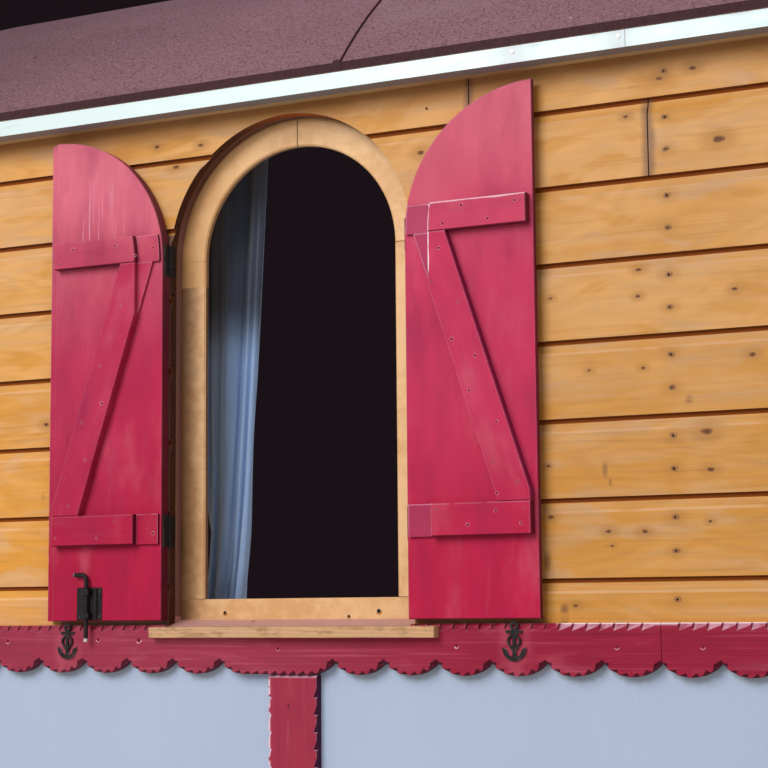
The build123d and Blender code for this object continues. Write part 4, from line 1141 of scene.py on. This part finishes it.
class BAY_OT_curtain(bpy.types.Operator):
    """Hang the curtain in folds from its rings"""
    bl_idname = "bay.curtain"
    bl_label = "Curtain and rings"

    def execute(self, context):
        c, s = settings()
        low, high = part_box("curtain")
        top, bottom = high[Z] - 0.001, low[Z] + 0.004
        left, middle_y = low[X] + 0.004, (low[Y] + high[Y]) / 2
        columns, rows = 121, 84
        drop = top - bottom
        verts, maps = [], []
        for j in range(rows):
            v = j / (rows - 1)
            span = (high[X] - low[X] - 0.010) * (1.0 - 0.30 * v - 0.24 * v ** 2.5)
            row = folded_row(s.curtain_width, span, s.curtain_folds, columns, 1.3 * v ** 2.2 - 0.13)
            for i, (along, deep) in enumerate(row):
                verts.append((left + along, middle_y + deep, top - drop * v))
                maps.append((s.curtain_width * i / (columns - 1), drop * (1.0 - v)))
        faces = [(j * columns + i, (j + 1) * columns + i, (j + 1) * columns + i + 1, j * columns + i + 1)
                 for j in range(rows - 1) for i in range(columns - 1)]
        mesh = bpy.data.meshes.new("curtain_panel")
        mesh.from_pydata(verts, [], faces)
        uv = mesh.uv_layers.new(name="flat")
        for loop in mesh.loops:
            uv.data[loop.index].uv = maps[loop.vertex_index]
        curtain = piece("curtain_panel", mesh, "wall", cloth_finish(c))
        pinned = curtain.vertex_groups.new(name="header and tucked hem")
        pinned.add(list(range(columns)) + list(range((rows - 1) * columns, rows * columns)), 1.0, "REPLACE")
        self.hang(curtain, low, high)
        for polygon in curtain.data.polygons:
            polygon.use_smooth = True
        solid = curtain.modifiers.new("thickness", "SOLIDIFY")
        solid.thickness, solid.offset = 0.0009, 0.0
        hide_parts("curtain")
        brass = brass_finish(c)
        places = [(left + 0.006 + k * (high[X] - low[X] - 0.022) / 6,
                   ROD_DEPTH, ROD_HEIGHT + ROD_RADIUS - s.ring + s.ring_wire) for k in range(7)]
        scatter("curtain_rings", rim, places, "wall", brass, s.ring, s.ring_wire, turn=ALONG)
        return {"FINISHED"}

    def hang(self, curtain, low, high):
        """Lets the gathered sheet hang under its own weight, and keeps it inside its solid's box."""
        scene = bpy.context.scene
        cloth = curtain.modifiers.new("hang", "CLOTH")
        cloth.settings.quality = 6
        cloth.settings.mass = 0.25
        cloth.settings.tension_stiffness = cloth.settings.compression_stiffness = 40.0
        cloth.settings.bending_stiffness = 0.8
        cloth.settings.vertex_group_mass = "header and tucked hem"
        cloth.collision_settings.use_collision = cloth.collision_settings.use_self_collision = False
        frames = 24
        cloth.point_cache.frame_start, cloth.point_cache.frame_end = 1, frames
        for step in range(1, frames + 1):
            scene.frame_set(step)
        evaluated = curtain.evaluated_get(bpy.context.evaluated_depsgraph_get())
        hung = [vertex.co.copy() for vertex in evaluated.data.vertices]
        curtain.modifiers.remove(cloth)
        scene.frame_set(1)
        for vertex, place in zip(curtain.data.vertices, hung):
            vertex.co = [min(max(place[axis], low[axis] + 0.001), high[axis] - 0.001) for axis in (X, Y, Z)]


class BAY_OT_stage(bpy.types.Operator):
    """Set the floor, the soft lights and the camera"""
    bl_idname = "bay.stage"
    bl_label = "Stage"

    def execute(self, context):
        c, _ = settings()
        self.camera()
        half = 14.0
        mesh = bpy.data.meshes.new("floor")
        mesh.from_pydata([(-half, -half, 0), (half, -half, 0), (half, half, 0), (-half, half, 0)], [],
                         [(0, 1, 2, 3)])
        floor = put("floor", mesh)
        paint = Finish("floor_paint")
        paint.tint = tuple(c.floor)
        mesh.materials.append(paint.settle(0.7))
        aim = Vector((0.0, 0.0, 1.2))
        for name, place, size, power, tint in (
                ("key", (-1.5, -6.0, 4.7), 4.4, 425.0, (1.0, 0.985, 0.96)),
                ("fill", (4.4, -4.6, 2.4), 3.5, 26.0, (0.95, 0.97, 1.0)),
                ("back", (1.5, 5.0, 3.8), 3.0, 130.0, (0.97, 0.98, 1.0))):
            lamp = bpy.data.lights.new(name, "AREA")
            lamp.shape, lamp.size, lamp.energy, lamp.color = "SQUARE", size, power, tint
            light = put(name, lamp)
            light.location = place
            light.rotation_euler = (aim - Vector(place)).to_track_quat("-Z", "Y").to_euler()
        self.world(c)
        return {"FINISHED"}

    def camera(self):
        """The photograph's camera: focal length in its pixels, its place and its three turns."""
        focal_pixels, frame_pixels, sensor = 1892.132, 768, 36.0
        yaw, pitch, roll = math.radians(26.051), math.radians(6.775), math.radians(-0.495)
        lens = bpy.data.cameras.new("camera")
        lens.sensor_width = sensor
        lens.lens = focal_pixels * sensor / frame_pixels
        lens.clip_start, lens.clip_end = 0.1, 60.0
        camera = put("camera", lens)
        forward = Vector((-math.sin(yaw) * math.cos(pitch), math.cos(yaw) * math.cos(pitch), math.sin(pitch)))
        level = Vector((math.cos(yaw), math.sin(yaw), 0.0))
        upright = level.cross(forward)
        right = math.cos(roll) * level + math.sin(roll) * upright
        up = -math.sin(roll) * level + math.cos(roll) * upright
        turn = Matrix((right, up, -forward)).transposed()
        camera.matrix_world = Matrix.Translation((1.69498, -3.05813, 0.809775)) @ turn.to_4x4()
        bpy.context.scene.camera = camera
        bpy.context.scene.view_settings.view_transform = "Standard"

    def world(self, c):
        """Soft light from all round, and a plain dark background where the camera looks past the part."""
        world = bpy.data.worlds.new("studio")
        bpy.context.scene.world = world
        world.use_nodes = True
        tree = world.node_tree
        tree.nodes.clear()
        seen = add_node(tree, "ShaderNodeLightPath")
        light = add_node(tree, "ShaderNodeBackground", {}, {
            "Color": (0.90, 0.95, 1.0, 1.0), "Strength": 0.26})
        ground = add_node(tree, "ShaderNodeBackground", {}, {"Color": c.ground})
        choice = add_node(tree, "ShaderNodeMixShader", {}, {
            0: seen.outputs["Is Camera Ray"], 1: light.outputs[0], 2: ground.outputs[0]})
        add_node(tree, "ShaderNodeOutputWorld", {}, {0: choice.outputs[0]})


OPERATORS = (BAY_OT_stage, BAY_OT_wall, BAY_OT_frame, BAY_OT_stained_work, BAY_OT_roof, BAY_OT_ironwork,
             BAY_OT_nails, BAY_OT_iron_screws, BAY_OT_curtain)


class BAY_PT_sidebar(bpy.types.Panel):
    """The bay's settings and the steps that dress it"""
    bl_label = "Wagon bay"
    bl_idname = "BAY_PT_sidebar"
    bl_space_type = "VIEW_3D"
    bl_region_type = "UI"
    bl_category = "Wagon bay"

    def draw(self, context):
        for group in (context.scene.wagon_bay.sizes, context.scene.wagon_bay.colours):
            for name in group.bl_rna.properties.keys():
                if name not in ("rna_type", "name"):
                    self.layout.prop(group, name)
        for operator in OPERATORS:
            self.layout.operator(operator.bl_idname)


CLASSES = (BayColours, BaySizes, WagonBay) + OPERATORS + (BAY_PT_sidebar,)


def register():
    for one in CLASSES:
        bpy.utils.register_class(one)
    bpy.types.Scene.wagon_bay = PointerProperty(type=WagonBay)


def unregister():
    del bpy.types.Scene.wagon_bay
    for one in reversed(CLASSES):
        bpy.utils.unregister_class(one)


def main():
    register()
    for operator in OPERATORS:
        group, name = operator.bl_idname.split(".")
        getattr(getattr(bpy.ops, group), name)()


if __name__ == "__main__":
    main()
